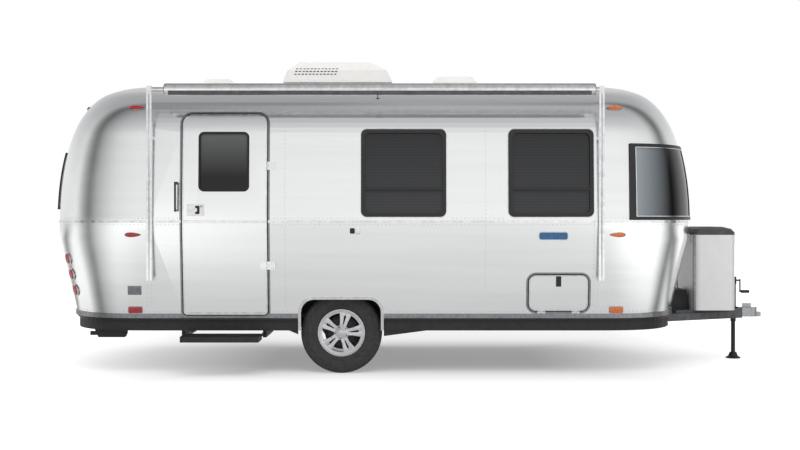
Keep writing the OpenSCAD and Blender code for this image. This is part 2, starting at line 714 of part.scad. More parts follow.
jack_tube_z0 = 358;
jack_bore_top = jack_top_z - 20;
jack_travel = 285;
module jack_tube() color([0.1, 0.1, 0.1]) difference() {
    union() {
        translate([0, 0, jack_tube_z0]) cylinder(r = jack_tube_r, h = jack_top_z - jack_tube_z0);
        translate([0, 0, rail_top + seat]) cylinder(r = jack_tube_r + 22, h = 10);
        translate([0, 0, jack_top_z - 70]) cylinder(r = jack_tube_r + 5, h = 70);
    }
    translate([0, 0, jack_tube_z0 - 1]) cylinder(r = jack_leg_r + run_fit, h = jack_bore_top - jack_tube_z0);
}

crank_axis_z = jack_top_z - 35;
crank_drop = 115;    // from the crank's shaft down to its grip
module jack_crank() color([0.1, 0.1, 0.1]) {
    crank_x = jack_tube_r + 40;
    grip_z = crank_axis_z - crank_drop + 6;
    translate([jack_tube_r + 5 + seat, 0, crank_axis_z]) rotate([0, 90, 0]) cylinder(r = 8, h = 34);
    translate([crank_x, 0, crank_axis_z - crank_drop]) cylinder(r = 7, h = crank_drop + 12);
    translate([crank_x - 7, 0, grip_z]) rotate([0, 90, 0]) cylinder(r = 6, h = 40);
    translate([crank_x + 10, 0, grip_z]) rotate([0, 90, 0]) cylinder(r = 15, h = 78);
}

module jack_leg() color("silver") {
    translate([0, 0, 30]) cylinder(r = jack_leg_r, h = jack_bore_top - jack_travel - 40);
    rotate_extrude() polygon([[0, 0], [jack_foot_r, 0], [jack_foot_r, 8], [jack_foot_r - 24, 22],
                              [jack_leg_r + 12, 57], [0, 57]]);
}

function gas_outline(g) = round_rect(-gas_back - gas_l + g, -gas_w / 2 + g, -gas_back - g, gas_w / 2 - g, 60, 60);
module gas_cover() color([0.92, 0.92, 0.92]) {
    difference() {
        translate([0, 0, gas_z0]) linear_extrude(gas_h) polygon(gas_outline(0));
        translate([0, 0, gas_z0 - 1]) linear_extrude(gas_h + 2) polygon(gas_outline(gas_t));
        at_lid_hinges() hinge_pocket(hinge_h / 2 + 10);
    }
    at_lid_hinges() hinge_fixed(hinge_h / 2, lid_stand + 2);
}

module gas_lid() color([0.3, 0.3, 0.3]) {
    difference() {
        hull() {
            translate([0, 0, lid_z]) linear_extrude(22) polygon(gas_outline(0));
            translate([0, 0, lid_z + 50]) linear_extrude(6) polygon(gas_outline(26));
            translate([0, 0, lid_z + gas_lid_h - 4]) linear_extrude(4) polygon(gas_outline(90));
        }
        translate([0, 0, lid_z - 1]) hull() {
            linear_extrude(20) polygon(gas_outline(gas_t));
            translate([0, 0, 48 - gas_t]) linear_extrude(6) polygon(gas_outline(26 + gas_t));
            translate([0, 0, gas_lid_h - gas_t - 4]) linear_extrude(4) polygon(gas_outline(90 + gas_t));
        }
        at_lid_hinges() hinge_pocket(hinge_h / 2 + 10);
    }
    at_lid_hinges() hinge_moving(hinge_h / 2, lid_stand, 4);
}

bottle_r = 154;
module gas_bottles() color("white") for (s = [-1, 1])
    translate([-gas_back - gas_l / 2, s * (bottle_r + 5), gas_z0]) rotate_extrude() polygon([
        [0, 0], [bottle_r - 30, 0], [bottle_r, 40], [bottle_r, 360], [bottle_r - 50, 430], [60, 450],
        [60, 540], [0, 540]]);

battery_x = -gas_back - gas_l - 170;
module battery_box() color([0.1, 0.1, 0.1]) hull() {
    translate([battery_x, -190, rail_top + seat]) cube([150, 380, 120]);
    translate([battery_x + 15, -170, rail_top + 120]) cube([120, 340, 68]);
}

module on_roof(x, y, h, w, l, t) difference() {
    translate([x - l / 2, y - w / 2, crown_z - t]) cube([l, w, t + h]);
    along_x(x - l, x + l) polygon([for (a = [-crown_half : crown_half / 8 : crown_half + 0.01])
        [(crown_r + seat) * sin(a), crown_cz + (crown_r + seat) * cos(a)]]);
}

air_x = mid_x - air_back;
module air_conditioner() color("white") {
    on_roof(air_x, 0, 24, air_w - 200, air_l - 300, 20);
    hull() {
        translate([air_x - air_l / 2, -air_w / 2, crown_z + 24 + seat]) cube([air_l, air_w, 20]);
        translate([air_x - air_l / 2 + 40, -air_w / 2 + 10, crown_z + 80]) cube([air_l - 90, air_w - 20, 60]);
        translate([air_x - air_l / 2 + 150, -air_w / 2 + 60, crown_z + air_h - 12])
            cube([air_l - 360, air_w - 120, 12]);
    }
}

module roof_vents() color("white") {
    for (v = [[rear_join + 421, 296, 86], [front_join - 1175, 418, 100]]) {
        on_roof(v.x, 0, 20, v.y, v.y, 12);
        hull() {
            translate([v.x - v.y / 2, -v.y / 2, crown_z + 20 + seat]) cube([v.y, v.y, 22]);
            translate([v.x - v.y / 2 + 40, -v.y / 2 + 40, crown_z + v.z - 8]) cube([v.y - 80, v.y - 80, 8]);
        }
    }
}

awning_half_arm = 23;
awning_x0 = rear_join + 155;
awning_x1 = front_join - 22;
rear_arm_out = 138;  // from the roller's rear end back to the rear arm
front_arm_out = 61;  // from the roller's front end forwards to the front arm
awning_arm_xs = [awning_x0 - rear_arm_out, awning_x1 + front_arm_out];
arm_foot_z = 820;
arm_foot_h = 24;
arm_bar_w = 18;
module awning_roller() color("gainsboro") translate([awning_x0, -arm_y - arm_t / 2, awning_z]) rotate([0, 90, 0]) {
    cylinder(r = awning_r, h = awning_x1 - awning_x0);
    translate([0, 0, awning_half_arm - rear_arm_out + seat])
        cylinder(r = 20, h = awning_x1 - awning_x0 + rear_arm_out + front_arm_out - 2 * (awning_half_arm + seat));
}

module awning_arms() color("gainsboro") for (x = awning_arm_xs) {
    for (dx = [-14, 14]) translate([x + dx - arm_bar_w / 2, -arm_y - arm_t, arm_foot_z])
        cube([arm_bar_w, arm_t, awning_z - arm_foot_z]);
    translate([x - awning_half_arm, -arm_y - arm_t, awning_z - 40]) cube([2 * awning_half_arm, arm_t, 70]);
    for (z = [arm_foot_z, shoulder_z - 60]) translate([x - awning_half_arm, -arm_y - 1, z])
        cube([2 * awning_half_arm, arm_y - max(half_width(z), half_width(z + arm_foot_h)), arm_foot_h]);
}

grab_x = door_x0 - 40;
module grab_rail() color("gainsboro") on_flank() {
    translate([grab_x, -60, 70]) cylinder(r = 11, h = 280);
    for (u = [90, 330]) translate([grab_x, -seat, u]) rotate([90, 0, 0]) cylinder(r = 8, h = 60);
}

channel_h = 62;
channel_l = 540;
channel_z = belly_z - seat - channel_h;
slot_z = 16;         // from a channel's underside up to its slot
module step_frame() color([0.15, 0.15, 0.15]) for (s = [0, 1])
    translate([s * step_w + step_x0 + (s > 0 ? 6 : -36), -half_w + sill_tuck + 36, channel_z]) difference() {
        cube([30, channel_l, channel_h]);
        translate([s > 0 ? -1 : 6, -1, slot_z]) cube([25, channel_l + 2, 30]);
    }

tread_h = 49;
tread_t = 6;
runner_w = 24;
module entry_step() color([0.3, 0.3, 0.3]) {
    translate([step_x0, -step_y1, step_z - tread_h]) difference() {
        cube([step_w, step_d, tread_h]);
        translate([tread_t, tread_t, -4]) cube([step_w - 2 * tread_t, step_d - 2 * tread_t, tread_h]);
    }
    for (s = [0, 1])
        translate([step_x0 + s * (step_w + runner_w) - runner_w, -step_y1 + step_d - 30, channel_z + slot_z + seat])
            cube([runner_w, 300, runner_w]);
}

stabiliser_y = 900;
stabiliser_x = rear_join - 275;
pivot_z = 335;
leg_t = 34;
pivot_r = 8;
module at_stabilisers(s) translate([stabiliser_x, s * stabiliser_y, pivot_z]) children();
module stabiliser_brackets() color([0.15, 0.15, 0.15]) for (s = [-1, 1]) at_stabilisers(s) {
    for (k = [-1, 1]) translate([0, k * (leg_t / 2 + 9) + 3, 0]) rotate([90, 0, 0]) linear_extrude(6)
        polygon([[-270, belly_z - seat - pivot_z], [-235, -35], [0, -35], [25, belly_z - seat - pivot_z]]);
    rotate([90, 0, 0]) cylinder(r = pivot_r, h = leg_t + 30, center = true);
}

module stabiliser_leg(s) color([0.2, 0.2, 0.2]) at_stabilisers(s) difference() {
    union() {
        translate([-stabiliser_l, -leg_t / 2, -leg_t / 2]) cube([stabiliser_l, leg_t, leg_t]);
        rotate([90, 0, 0]) cylinder(r = leg_t / 2, h = leg_t, center = true);
    }
    rotate([90, 0, 0]) cylinder(r = pivot_r + run_fit, h = leg_t + 2, center = true);
}
module left_stabiliser_leg() stabiliser_leg(1);
module right_stabiliser_leg() stabiliser_leg(-1);

// A lamp's body: long, high and proud of the skin
module lamp(l, h, t) translate([0, -seat, 0]) rotate([90, 0, 0]) linear_extrude(t)
    polygon(round_rect(-l / 2, -h / 2, l / 2, h / 2, h * 0.4, h * 0.4));

// The side lamps: [height, from the front cap's joint forwards, from the rear cap's joint back]
side_lamps = [[562, 184, 126], [1215, 186, 136], [2318, 172, 120]];
module side_lamp() lamp(130, 52, 22);
module marker_lamp() lamp(90, 40, 20);
module amber_lights() color([0.85, 0.45, 0.15]) {
    both_sides() for (k = side_lamps) on_skin(front_join + k[1], k[0]) side_lamp();
    for (y = [-260, 0, 260]) on_front(y, 2240) marker_lamp();
}

module red_lights() color([0.7, 0.12, 0.15]) {
    both_sides() for (k = side_lamps) on_skin(rear_join - k[2], k[0]) side_lamp();
    for (y = [-560, 0, 560]) on_rear(y, 2360) marker_lamp();
}

module tail_lamps() color([0.7, 0.12, 0.15])
    for (s = [-1, 1], z = [720, 860, 1000]) on_rear(s * 880, z) lamp(110, 110, 26);
module number_plate() color("white") on_rear(0, 760) lamp(305, 152, 8);

module side_fittings() color("gray") {
    on_skin(rear_join - 130, 732) lamp(120, 78, 12);
    on_skin(mid_x - 150, 1270) translate([0, 0, -20]) lamp(80, 60, 14);
}

front_cap();
rear_cap();
wall_door_side();
wall_street_side();
roof_panel();
cabin_floor();
belly_pan();
belly_skirt();
belt_trim();
rub_rail();
side_window_frames();
side_window_panes();
front_window();
rear_window();
entry_door();
door_window();
door_handle();
hinge_brackets();
storage_hatch();
hatch_latch();
chassis_frame();
a_frame();
axle();
wheel_housings();
wheel_arch_trims();
left_tyre();
right_tyre();
left_rim();
right_rim();
coupler();
jack_tube();
jack_crank();
jack_leg();
gas_cover();
gas_lid();
gas_bottles();
battery_box();
air_conditioner();
roof_vents();
awning_roller();
awning_arms();
grab_rail();
step_frame();
entry_step();
stabiliser_brackets();
left_stabiliser_leg();
right_stabiliser_leg();
amber_lights();
red_lights();
tail_lamps();
number_plate();
side_fittings();
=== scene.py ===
"""Travel caravan: finishes, detail and studio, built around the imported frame.

Lengths are in metres. +X runs to the hitch, the entry door is on the -Y side and +Z is up.
"""

from __future__ import annotations

import json
import logging
import math
from dataclasses import dataclass
from enum import Enum
from typing import Callable, Sequence

import bmesh
import bpy
from mathutils import Matrix, Vector

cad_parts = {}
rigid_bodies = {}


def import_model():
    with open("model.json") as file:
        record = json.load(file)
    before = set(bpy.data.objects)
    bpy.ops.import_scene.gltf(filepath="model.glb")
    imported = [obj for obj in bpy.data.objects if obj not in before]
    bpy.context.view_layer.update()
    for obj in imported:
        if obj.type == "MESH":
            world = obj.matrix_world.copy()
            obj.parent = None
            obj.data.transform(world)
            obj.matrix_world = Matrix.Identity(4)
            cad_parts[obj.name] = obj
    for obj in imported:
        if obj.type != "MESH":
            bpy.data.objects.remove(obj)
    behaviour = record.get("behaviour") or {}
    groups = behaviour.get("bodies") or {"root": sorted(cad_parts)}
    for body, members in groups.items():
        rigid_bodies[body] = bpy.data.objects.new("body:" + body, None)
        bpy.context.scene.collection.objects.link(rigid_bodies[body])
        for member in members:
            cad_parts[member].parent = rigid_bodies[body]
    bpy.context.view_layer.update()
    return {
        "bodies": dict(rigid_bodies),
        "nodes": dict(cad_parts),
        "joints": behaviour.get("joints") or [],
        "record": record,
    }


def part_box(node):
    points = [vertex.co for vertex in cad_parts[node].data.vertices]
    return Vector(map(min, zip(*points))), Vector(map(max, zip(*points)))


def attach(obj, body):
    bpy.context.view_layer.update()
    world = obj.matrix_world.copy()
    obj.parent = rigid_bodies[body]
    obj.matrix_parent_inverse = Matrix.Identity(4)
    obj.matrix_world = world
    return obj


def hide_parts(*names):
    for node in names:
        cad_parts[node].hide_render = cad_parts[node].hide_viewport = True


LOG = logging.getLogger("caravan")
MM = 0.001
MERGE = 0.00002
BMesh = bmesh.types.BMesh
Point = tuple[float, float]
Box = tuple[float, float, float, float]


class Side(Enum):
    """The two sides of the caravan, by the sign of Y."""

    DOOR = -1
    STREET = 1


class End(Enum):
    """The two ends of the shell, by the sign of X."""

    FRONT = 1
    REAR = -1


# ---------------------------------------------------------------- finishes


def linear(colour: str) -> tuple[float, float, float, float]:
    """Turn an sRGB hex colour into linear RGBA.

    Args:
        colour: Six hex digits after a hash, such as "#c8c8c8".

    Returns:
        Red, green, blue and alpha in linear light.
    """
    parts = [int(colour[i : i + 2], 16) / 255 for i in (1, 3, 5)]
    return (*[p / 12.92 if p <= 0.04045 else ((p + 0.055) / 1.055) ** 2.4 for p in parts], 1.0)


def add_node(tree: bpy.types.NodeTree, kind: str, values: dict | None = None, **settings) -> bpy.types.Node:
    """Add a node with its settings, and its sockets' values or links.

    Args:
        tree: The node tree.
        kind: The node's type name.
        values: Socket name or number to a value, or to the socket or node (its first output) that feeds it.
        **settings: Attributes of the node.

    Returns:
        The new node.
    """
    node = tree.nodes.new(kind)
    for name, value in settings.items():
        setattr(node, name, value)
    for key, value in (values or {}).items():
        if isinstance(value, bpy.types.Node):
            value = value.outputs[0]
        if isinstance(value, bpy.types.NodeSocket):
            tree.links.new(value, node.inputs[key])
        else:
            node.inputs[key].default_value = value
    return node


def set_ramp(node: bpy.types.Node, stops: Sequence[tuple[float, str]]) -> None:
    """Give a colour ramp its stops.

    Args:
        node: A ColorRamp node.
        stops: Position and hex colour of each stop.
    """
    elements = node.color_ramp.elements
    while len(elements) < len(stops):
        elements.new(0.5)
    for element, (place, colour) in zip(elements, stops):
        element.position = place
        element.color = linear(colour)


def new_material(name: str) -> tuple[bpy.types.Material, bpy.types.NodeTree, bpy.types.Node]:
    """Start a node material.

    Args:
        name: Its name.

    Returns:
        The material, its node tree and its Principled shader.
    """
    material = bpy.data.materials.new(name)
    material.use_nodes = True
    return material, material.node_tree, material.node_tree.nodes["Principled BSDF"]


@dataclass(frozen=True)
class Finish:
    """A surface: its colour and its spread, its gloss, and the grain that the eye sees in it."""

    name: str
    colour: str
    dark: str
    metallic: float = 0.0
    roughness: float = 0.5
    rough_spread: float = 0.08
    grain_mm: float = 30.0
    stretch: tuple[float, float, float] = (1.0, 1.0, 1.0)
    bump: float = 0.0
    bump_mm: float = 2.0
    coat: float = 0.0

    def build(self) -> bpy.types.Material:
        """Make the material, or find the one made before.

        Returns:
            The material.
        """
        found = bpy.data.materials.get(self.name)
        if found:
            return found
        material, tree, shader = new_material(self.name)
        shader.inputs["Metallic"].default_value = self.metallic
        shader.inputs["Coat Weight"].default_value = self.coat
        where = add_node(tree, "ShaderNodeTexCoord").outputs["Object"]
        placed = add_node(tree, "ShaderNodeMapping", {"Vector": where, "Scale": self.stretch})
        grain = add_node(tree, "ShaderNodeTexNoise",
                         {"Vector": placed, "Scale": 1 / (self.grain_mm * MM), "Detail": 4.0}).outputs["Fac"]
        tint = add_node(tree, "ShaderNodeValToRGB", {"Fac": grain})
        set_ramp(tint, [(0.35, self.dark), (0.62, self.colour)])
        tree.links.new(tint.outputs["Color"], shader.inputs["Base Color"])
        low, high = max(0.02, self.roughness - self.rough_spread), self.roughness + self.rough_spread
        gloss = add_node(tree, "ShaderNodeMapRange",
                         {"Value": grain, "From Min": 0.3, "From Max": 0.7, "To Min": low, "To Max": high})
        tree.links.new(gloss.outputs[0], shader.inputs["Roughness"])
        if self.bump:
            fine = add_node(tree, "ShaderNodeTexNoise",
                            {"Vector": placed, "Scale": 1 / (self.bump_mm * MM), "Detail": 2.0})
            relief = add_node(tree, "ShaderNodeBump",
                              {"Height": fine.outputs["Fac"], "Strength": 1.0, "Distance": self.bump * MM})
            tree.links.new(relief.outputs[0], shader.inputs["Normal"])
        return material


@dataclass(frozen=True)
class BlindGlass:
    """Tinted float glass whose colour runs from one edge to the other, which is painted light on the door, rear and
    front glass, with a slatted blind behind it or none.
    """

    name: str
    low: str
    high: str
    slat_mm: float = 25.0
    slats: float = 0.5
    bottom: float = 1.36
    top: float = 2.12
    axis: str = "Z"

    def build(self) -> bpy.types.Material:
        """Make the material, or find the one made before.

        Returns:
            The material.
        """
        found = bpy.data.materials.get(self.name)
        if found:
            return found
        material, tree, shader = new_material(self.name)
        shader.inputs["Roughness"].default_value = 0.06
        shader.inputs["IOR"].default_value = 1.45
        where = add_node(tree, "ShaderNodeTexCoord").outputs["Object"]
        place = add_node(tree, "ShaderNodeSeparateXYZ", {0: where}).outputs[self.axis]
        # The run from low to high is painted light on the door, rear and front glass
        share = add_node(tree, "ShaderNodeMapRange", {"Value": place, "From Min": self.bottom, "From Max": self.top})
        shade = add_node(tree, "ShaderNodeValToRGB", {"Fac": share})
        set_ramp(shade, [(0.0, self.low), (1.0, self.high)])
        lines = add_node(tree, "ShaderNodeTexWave", {"Vector": where, "Scale": math.pi / (10 * self.slat_mm * MM)},
                         wave_type="BANDS", bands_direction="Z")
        slat = add_node(tree, "ShaderNodeMapRange",
                        {"Value": lines.outputs["Fac"], "To Min": 1 - self.slats, "To Max": 1 + self.slats})
        mixed = add_node(tree, "ShaderNodeVectorMath", {0: shade, "Scale": slat}, operation="SCALE")
        tree.links.new(mixed.outputs[0], shader.inputs["Base Color"])
        return material


# Mill-finish aluminium sheet, rolled along the body: long faint streaks, a soft mirror of the studio
ALUMINIUM = Finish("mill_finish_aluminium", "#f5f6f6", "#f1f2f2", 1.0, 0.2, 0.012, 90, (0.05, 1, 1))
# Bright anodised aluminium extrusion: a harder, cleaner shine than the sheet
BRIGHT = Finish("bright_anodised_aluminium", "#eeeeef", "#dcdcde", 1.0, 0.16, 0.04, 40)
# Satin anodised aluminium, darker than the sheet: its dark tone also paints the shade that the door and hatch edges,
# the rub rail and the gas cover's rear corners show
SATIN_AND_SHADE = Finish("satin_anodised_aluminium", "#9b9c9f", "#85868a", 1.0, 0.34, 0.05, 30)
# Black powder coat: window frames, latch and step frame
BLACK_TRIM = Finish("black_powder_coat", "#222325", "#17181a", 0.0, 0.42, 0.06, 8, bump=0.03, bump_mm=0.8)
# Black EPDM rubber: seals round the doors and windows
RUBBER_SEAL = Finish("black_epdm_rubber", "#1b1b1c", "#121213", 0.0, 0.62, 0.06, 12)
# Painted shade under the body: near black on the belly, the lower skirt (bright aluminium on the real caravan), the
# wheel housings, the sill strip and the stone guards stands in for the shade and dark reflection there, with a rough
# sprayed texture
UNDER_PAINTED_SHADE = Finish("underbody_painted_shade", "#2a2a2b", "#1c1c1d", 0.0, 0.58, 0.1, 70,
                     bump=0.2, bump_mm=6)
# Black chassis paint, brushed thick over welded steel
CHASSIS = Finish("black_chassis_paint", "#262729", "#191a1b", 0.0, 0.46, 0.08, 40, bump=0.05, bump_mm=2)
# Grey chassis paint, worn a little by stones
FRAME_GREY = Finish("grey_chassis_paint", "#5f6164", "#4a4c4f", 0.0, 0.45, 0.08, 60, bump=0.05, bump_mm=2)
# Zinc-plated steel with its fine grey spangle
ZINC = Finish("zinc_plated_steel", "#b9bbbe", "#94969a", 1.0, 0.33, 0.08, 14)
# Machined and lacquered aluminium casting
CAST_ALLOY = Finish("machined_cast_alloy", "#e2e2e4", "#cfd0d2", 0.85, 0.34, 0.05, 18)
# Dark grey behind the spokes: the drum's own paint, and painted shade on the nuts and the barrel's inner ring in the
# wheel's pockets
DRUM_AND_POCKET_SHADE = Finish("painted_wheel_pocket", "#3a3b3d", "#242526", 0.3, 0.5, 0.08, 20)
# Vulcanised rubber, matt and slightly dusty
TYRE = Finish("vulcanised_tyre_rubber", "#3b3b3c", "#2a2a2b", 0.0, 0.72, 0.08, 24, bump=0.08, bump_mm=1.5)
# White ASA plastic, the weatherproof kind that roof housings are moulded from
PLASTIC_WHITE = Finish("white_asa_plastic", "#ecebe8", "#e8e7e4", 0.0, 0.42, 0.02, 120,
                       bump=0.02, bump_mm=1.2)
# Grey textured ABS plastic
PLASTIC_GREY = Finish("grey_abs_plastic", "#515254", "#414244", 0.0, 0.5, 0.08, 60, bump=0.05, bump_mm=1.2)
# Black moulded polypropylene; the same black also paints the shade in the door lock's recess, the power inlet's mouth
# and the air conditioner's grille slots
PLASTIC_BLACK_AND_SHADE = Finish("black_polypropylene", "#1e1f20", "#141415", 0.0, 0.48, 0.08, 30,
                       bump=0.05, bump_mm=1.2)
# Silver paint over aluminium sheet
COVER_SILVER = Finish("silver_painted_aluminium", "#e6e6e6", "#e2e2e2", 0.25, 0.38, 0.02, 90)
# White enamel over a steel bottle
BOTTLE = Finish("white_enamelled_steel", "#e9e8e4", "#e4e3df", 0.0, 0.3, 0.02, 80)
# Oak-look vinyl flooring, its grain running along the body
BOARD = Finish("oak_vinyl_flooring", "#9a7b58", "#7c5f41", 0.0, 0.5, 0.06, 90, (0.15, 1, 1))
# Amber acrylic lens
AMBER = Finish("amber_acrylic_lens", "#e07a34", "#c4602a", 0.0, 0.18, 0.04, 9, coat=0.6)
# Red acrylic lens
RED = Finish("red_acrylic_lens", "#b4232b", "#8c151d", 0.0, 0.18, 0.04, 9, coat=0.6)
# Blue enamel on the blank plate
BLUE = Finish("blue_enamel", "#3f6d9c", "#355f8b", 0.2, 0.3, 0.04, 14)
# Grey nylon
GREY_FITTING = Finish("grey_nylon", "#7c7d80", "#666769", 0.0, 0.5, 0.08, 12)
# White-coated aluminium plate, left blank
PLATE = Finish("white_coated_aluminium", "#e8e8e6", "#dcdcda", 0.0, 0.35, 0.04, 40)
# Dark tinted glass with a closed blind behind it
WINDOW = BlindGlass("tinted_glass_with_blind", "#303133", "#1a1b1d", slats=0.2)
# Tinted glass with painted light, lighter towards its top
DOOR_GLASS = BlindGlass("tinted_door_glass", "#020203", "#5c5d5e", slats=0.0, bottom=1.72, top=2.12)
# Tinted glass of the rear window, with painted light making it lighter towards its top
REAR_GLASS = BlindGlass("tinted_rear_glass", "#1d2328", "#2c3439", slats=0.0, bottom=1.34, top=2.01)
# Tinted glass with painted light: pale grey at its rear edge for light seen through the pane, darkening forwards
FRONT_GLASS = BlindGlass("tinted_wrap_glass", "#a2abb2", "#050607", slats=0.0, bottom=-1.27,
                         top=-0.87, axis="X")


# ---------------------------------------------------------------- mesh helpers


def finished(bm: BMesh, name: str, finish: Finish | BlindGlass, slot: str, body: str = "body",
             angle: float = 40.0, replaces: str = "", outward: bool = True) -> None:
    """Turn a bmesh into a finished piece that rides on a body.

    Args:
        bm: The bmesh, in the frame's own place. It is freed.
        name: The piece's name.
        finish: Its finish.
        slot: Not used.
        body: The body it rides on.
        angle: Edges sharper than this many degrees stay sharp.
        replaces: The CAD node it stands in for, if any.
        outward: Whether to recalculate the normals to point outwards.
    """
    bmesh.ops.remove_doubles(bm, verts=bm.verts, dist=MERGE)
    if outward:
        bmesh.ops.recalc_face_normals(bm, faces=bm.faces)
    mesh = bpy.data.meshes.new(name)
    bm.to_mesh(mesh)
    bm.free()
    mesh.shade_smooth()
    mesh.set_sharp_from_angle(angle=math.radians(angle))
    piece = bpy.data.objects.new(name, mesh)
    bpy.context.scene.collection.objects.link(piece)
    mesh.materials.append(finish.build())
    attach(piece, body)
    if replaces:
        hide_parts(replaces)
    LOG.info("%s: %d faces on %s", name, len(mesh.polygons), body)


def mapped_sheet(across: int, along: int, place: Callable[[float, float], Vector]) -> BMesh:
    """Make a grid and carry each of its points to a place on a surface.

    Args:
        across: Cells along u.
        along: Cells along v.
        place: Gives the point for u and v from 0 to 1.

    Returns:
        The bmesh of one open sheet.
    """
    bm = bmesh.new()
    bmesh.ops.create_grid(bm, x_segments=across, y_segments=along, size=0.5)
    for vert in bm.verts:
        vert.co = place(vert.co.x + 0.5, vert.co.y + 0.5)
    return bm


def extruded(bm: BMesh, faces: Sequence[bmesh.types.BMFace]) -> list[bmesh.types.BMVert]:
    """Extrude faces in place.

    Args:
        bm: The bmesh.
        faces: The faces to extrude.

    Returns:
        The new points, which have still to be moved.
    """
    grown = bmesh.ops.extrude_face_region(bm, geom=faces)["geom"]
    return [g for g in grown if isinstance(g, bmesh.types.BMVert)]


def edges_among(bm: BMesh, verts: Sequence[bmesh.types.BMVert]) -> list[bmesh.types.BMEdge]:
    """The edges with both ends among some points, in the mesh's order."""
    chosen = set(verts)
    return [e for e in bm.edges if all(v in chosen for v in e.verts)]


def rounded(bm: BMesh, edges: Sequence[bmesh.types.BMEdge], radius: float, steps: int) -> None:
    """Round edges.

    Args:
        bm: The bmesh.
        edges: The edges.
        radius: The radius.
        steps: Segments of the radius.
    """
    bmesh.ops.bevel(bm, geom=edges, offset=radius, segments=steps, affect="EDGES", profile=0.5, material=-1)


def outline_plate(points: Sequence[Point], depth: float, bevel: float = 0.0, steps: int = 2) -> BMesh:
    """Extrude an outline in the X-Z plane from y = 0 towards -Y, and round its outer edge.

    Args:
        points: Outline points as x and z.
        depth: How far the plate stands out.
        bevel: Radius of its outer edge.
        steps: Segments of that radius.

    Returns:
        The bmesh.
    """
    bm = bmesh.new()
    face = bm.faces.new([bm.verts.new((x, 0.0, z)) for x, z in points])
    verts = extruded(bm, [face])
    bmesh.ops.translate(bm, verts=verts, vec=(0, -depth, 0))
    if bevel:
        rounded(bm, edges_among(bm, verts), bevel, steps)
    return bm


def round_rect(x0: float, z0: float, x1: float, z1: float, low: float, high: float,
               steps: int = 6) -> list[Point]:
    """Outline of a rectangle with rounded corners.

    Args:
        x0: Lowest x.
        z0: Lowest z.
        x1: Highest x.
        z1: Highest z.
        low: Radius of the lower corners.
        high: Radius of the upper corners.
        steps: Segments in each corner.

    Returns:
        The points, counterclockwise.
    """
    corners = [(x1 - low, z0 + low, low, -90), (x1 - high, z1 - high, high, 0),
               (x0 + high, z1 - high, high, 90), (x0 + low, z0 + low, low, 180)]
    turns = [math.radians(90 * i / steps) for i in range(steps + 1)]
    return [(cx + r * math.cos(math.radians(a) + t), cz + r * math.sin(math.radians(a) + t))
            for cx, cz, r, a in corners for t in turns]


def plain_rect(x0: float, z0: float, x1: float, z1: float) -> list[Point]:
    """Outline of a square-cornered rectangle."""
    return [(x0, z0), (x1, z0), (x1, z1), (x0, z1)]


def box_bm(low: Sequence[float], high: Sequence[float], bevel: float = 0.0, steps: int = 2) -> BMesh:
    """Make a box between two corners with rounded edges.

    Args:
        low: Lowest corner.
        high: Highest corner.
        bevel: Radius of its edges.
        steps: Segments of that radius.

    Returns:
        The bmesh.
    """
    bm = bmesh.new()
    bmesh.ops.create_cube(bm, size=1.0)
    size = Vector(high) - Vector(low)
    bmesh.ops.scale(bm, verts=bm.verts, vec=size)
    bmesh.ops.translate(bm, verts=bm.verts, vec=Vector(low) + size / 2)
    if bevel:
        rounded(bm, bm.edges[:], bevel, steps)
    return bm


def spun(profile: Sequence[Point], steps: int = 48) -> BMesh:
    """Turn an outline of radius and height about the Z axis.

    Args:
        profile: Radius and height of each point.
        steps: Steps of the full turn.

    Returns:
        The bmesh, about the origin.
    """
    bm = bmesh.new()
    verts = [bm.verts.new((r, 0.0, z)) for r, z in profile]
    edges = [bm.edges.new(pair) for pair in zip(verts, verts[1:])]
    bmesh.ops.spin(bm, geom=verts + edges, cent=(0, 0, 0), axis=(0, 0, 1), angle=math.tau, steps=steps,
                   use_merge=True, use_duplicate=False)
    bmesh.ops.remove_doubles(bm, verts=bm.verts, dist=MERGE)
    return bm


def join_into(target: BMesh, source: BMesh, place: Matrix | None = None) -> None:
    """Add one bmesh to another and free it.

    Args:
        target: The bmesh that grows.
        source: The bmesh to add.
        place: Where to put it.
    """
    if place is not None:
        source.transform(place)
    mesh = bpy.data.meshes.new("part")
    source.to_mesh(mesh)
    source.free()
    target.from_mesh(mesh)
    bpy.data.meshes.remove(mesh)


def rod(start: Sequence[float], end: Sequence[float], radius: float, segments: int = 16) -> BMesh:
    """Make a round rod between two points.

    Args:
        start: One end.
        end: The other end.
        radius: Its radius.
        segments: Its facets.

    Returns:
        The bmesh.
    """
    bm = bmesh.new()
    span = Vector(end) - Vector(start)
    turn = span.to_track_quat("Z", "Y").to_matrix().to_4x4()
    place = Matrix.Translation((Vector(start) + Vector(end)) / 2) @ turn
    bmesh.ops.create_cone(bm, cap_ends=True, segments=segments, radius1=radius, radius2=radius,
                          depth=span.length, matrix=place)
    return bm


def cad_bm(frame: dict, node: str) -> BMesh:
    """Copy a CAD node's mesh and merge its loose triangles.

    Args:
        frame: The loaded frame.
        node: The CAD node.

    Returns:
        The bmesh.
    """
    bm = bmesh.new()
    bm.from_mesh(frame["nodes"][node].data)
    bmesh.ops.remove_doubles(bm, verts=bm.verts, dist=0.0002)
    bmesh.ops.dissolve_degenerate(bm, edges=bm.edges[:], dist=0.0001)
    return bm


# ---------------------------------------------------------------- the studio


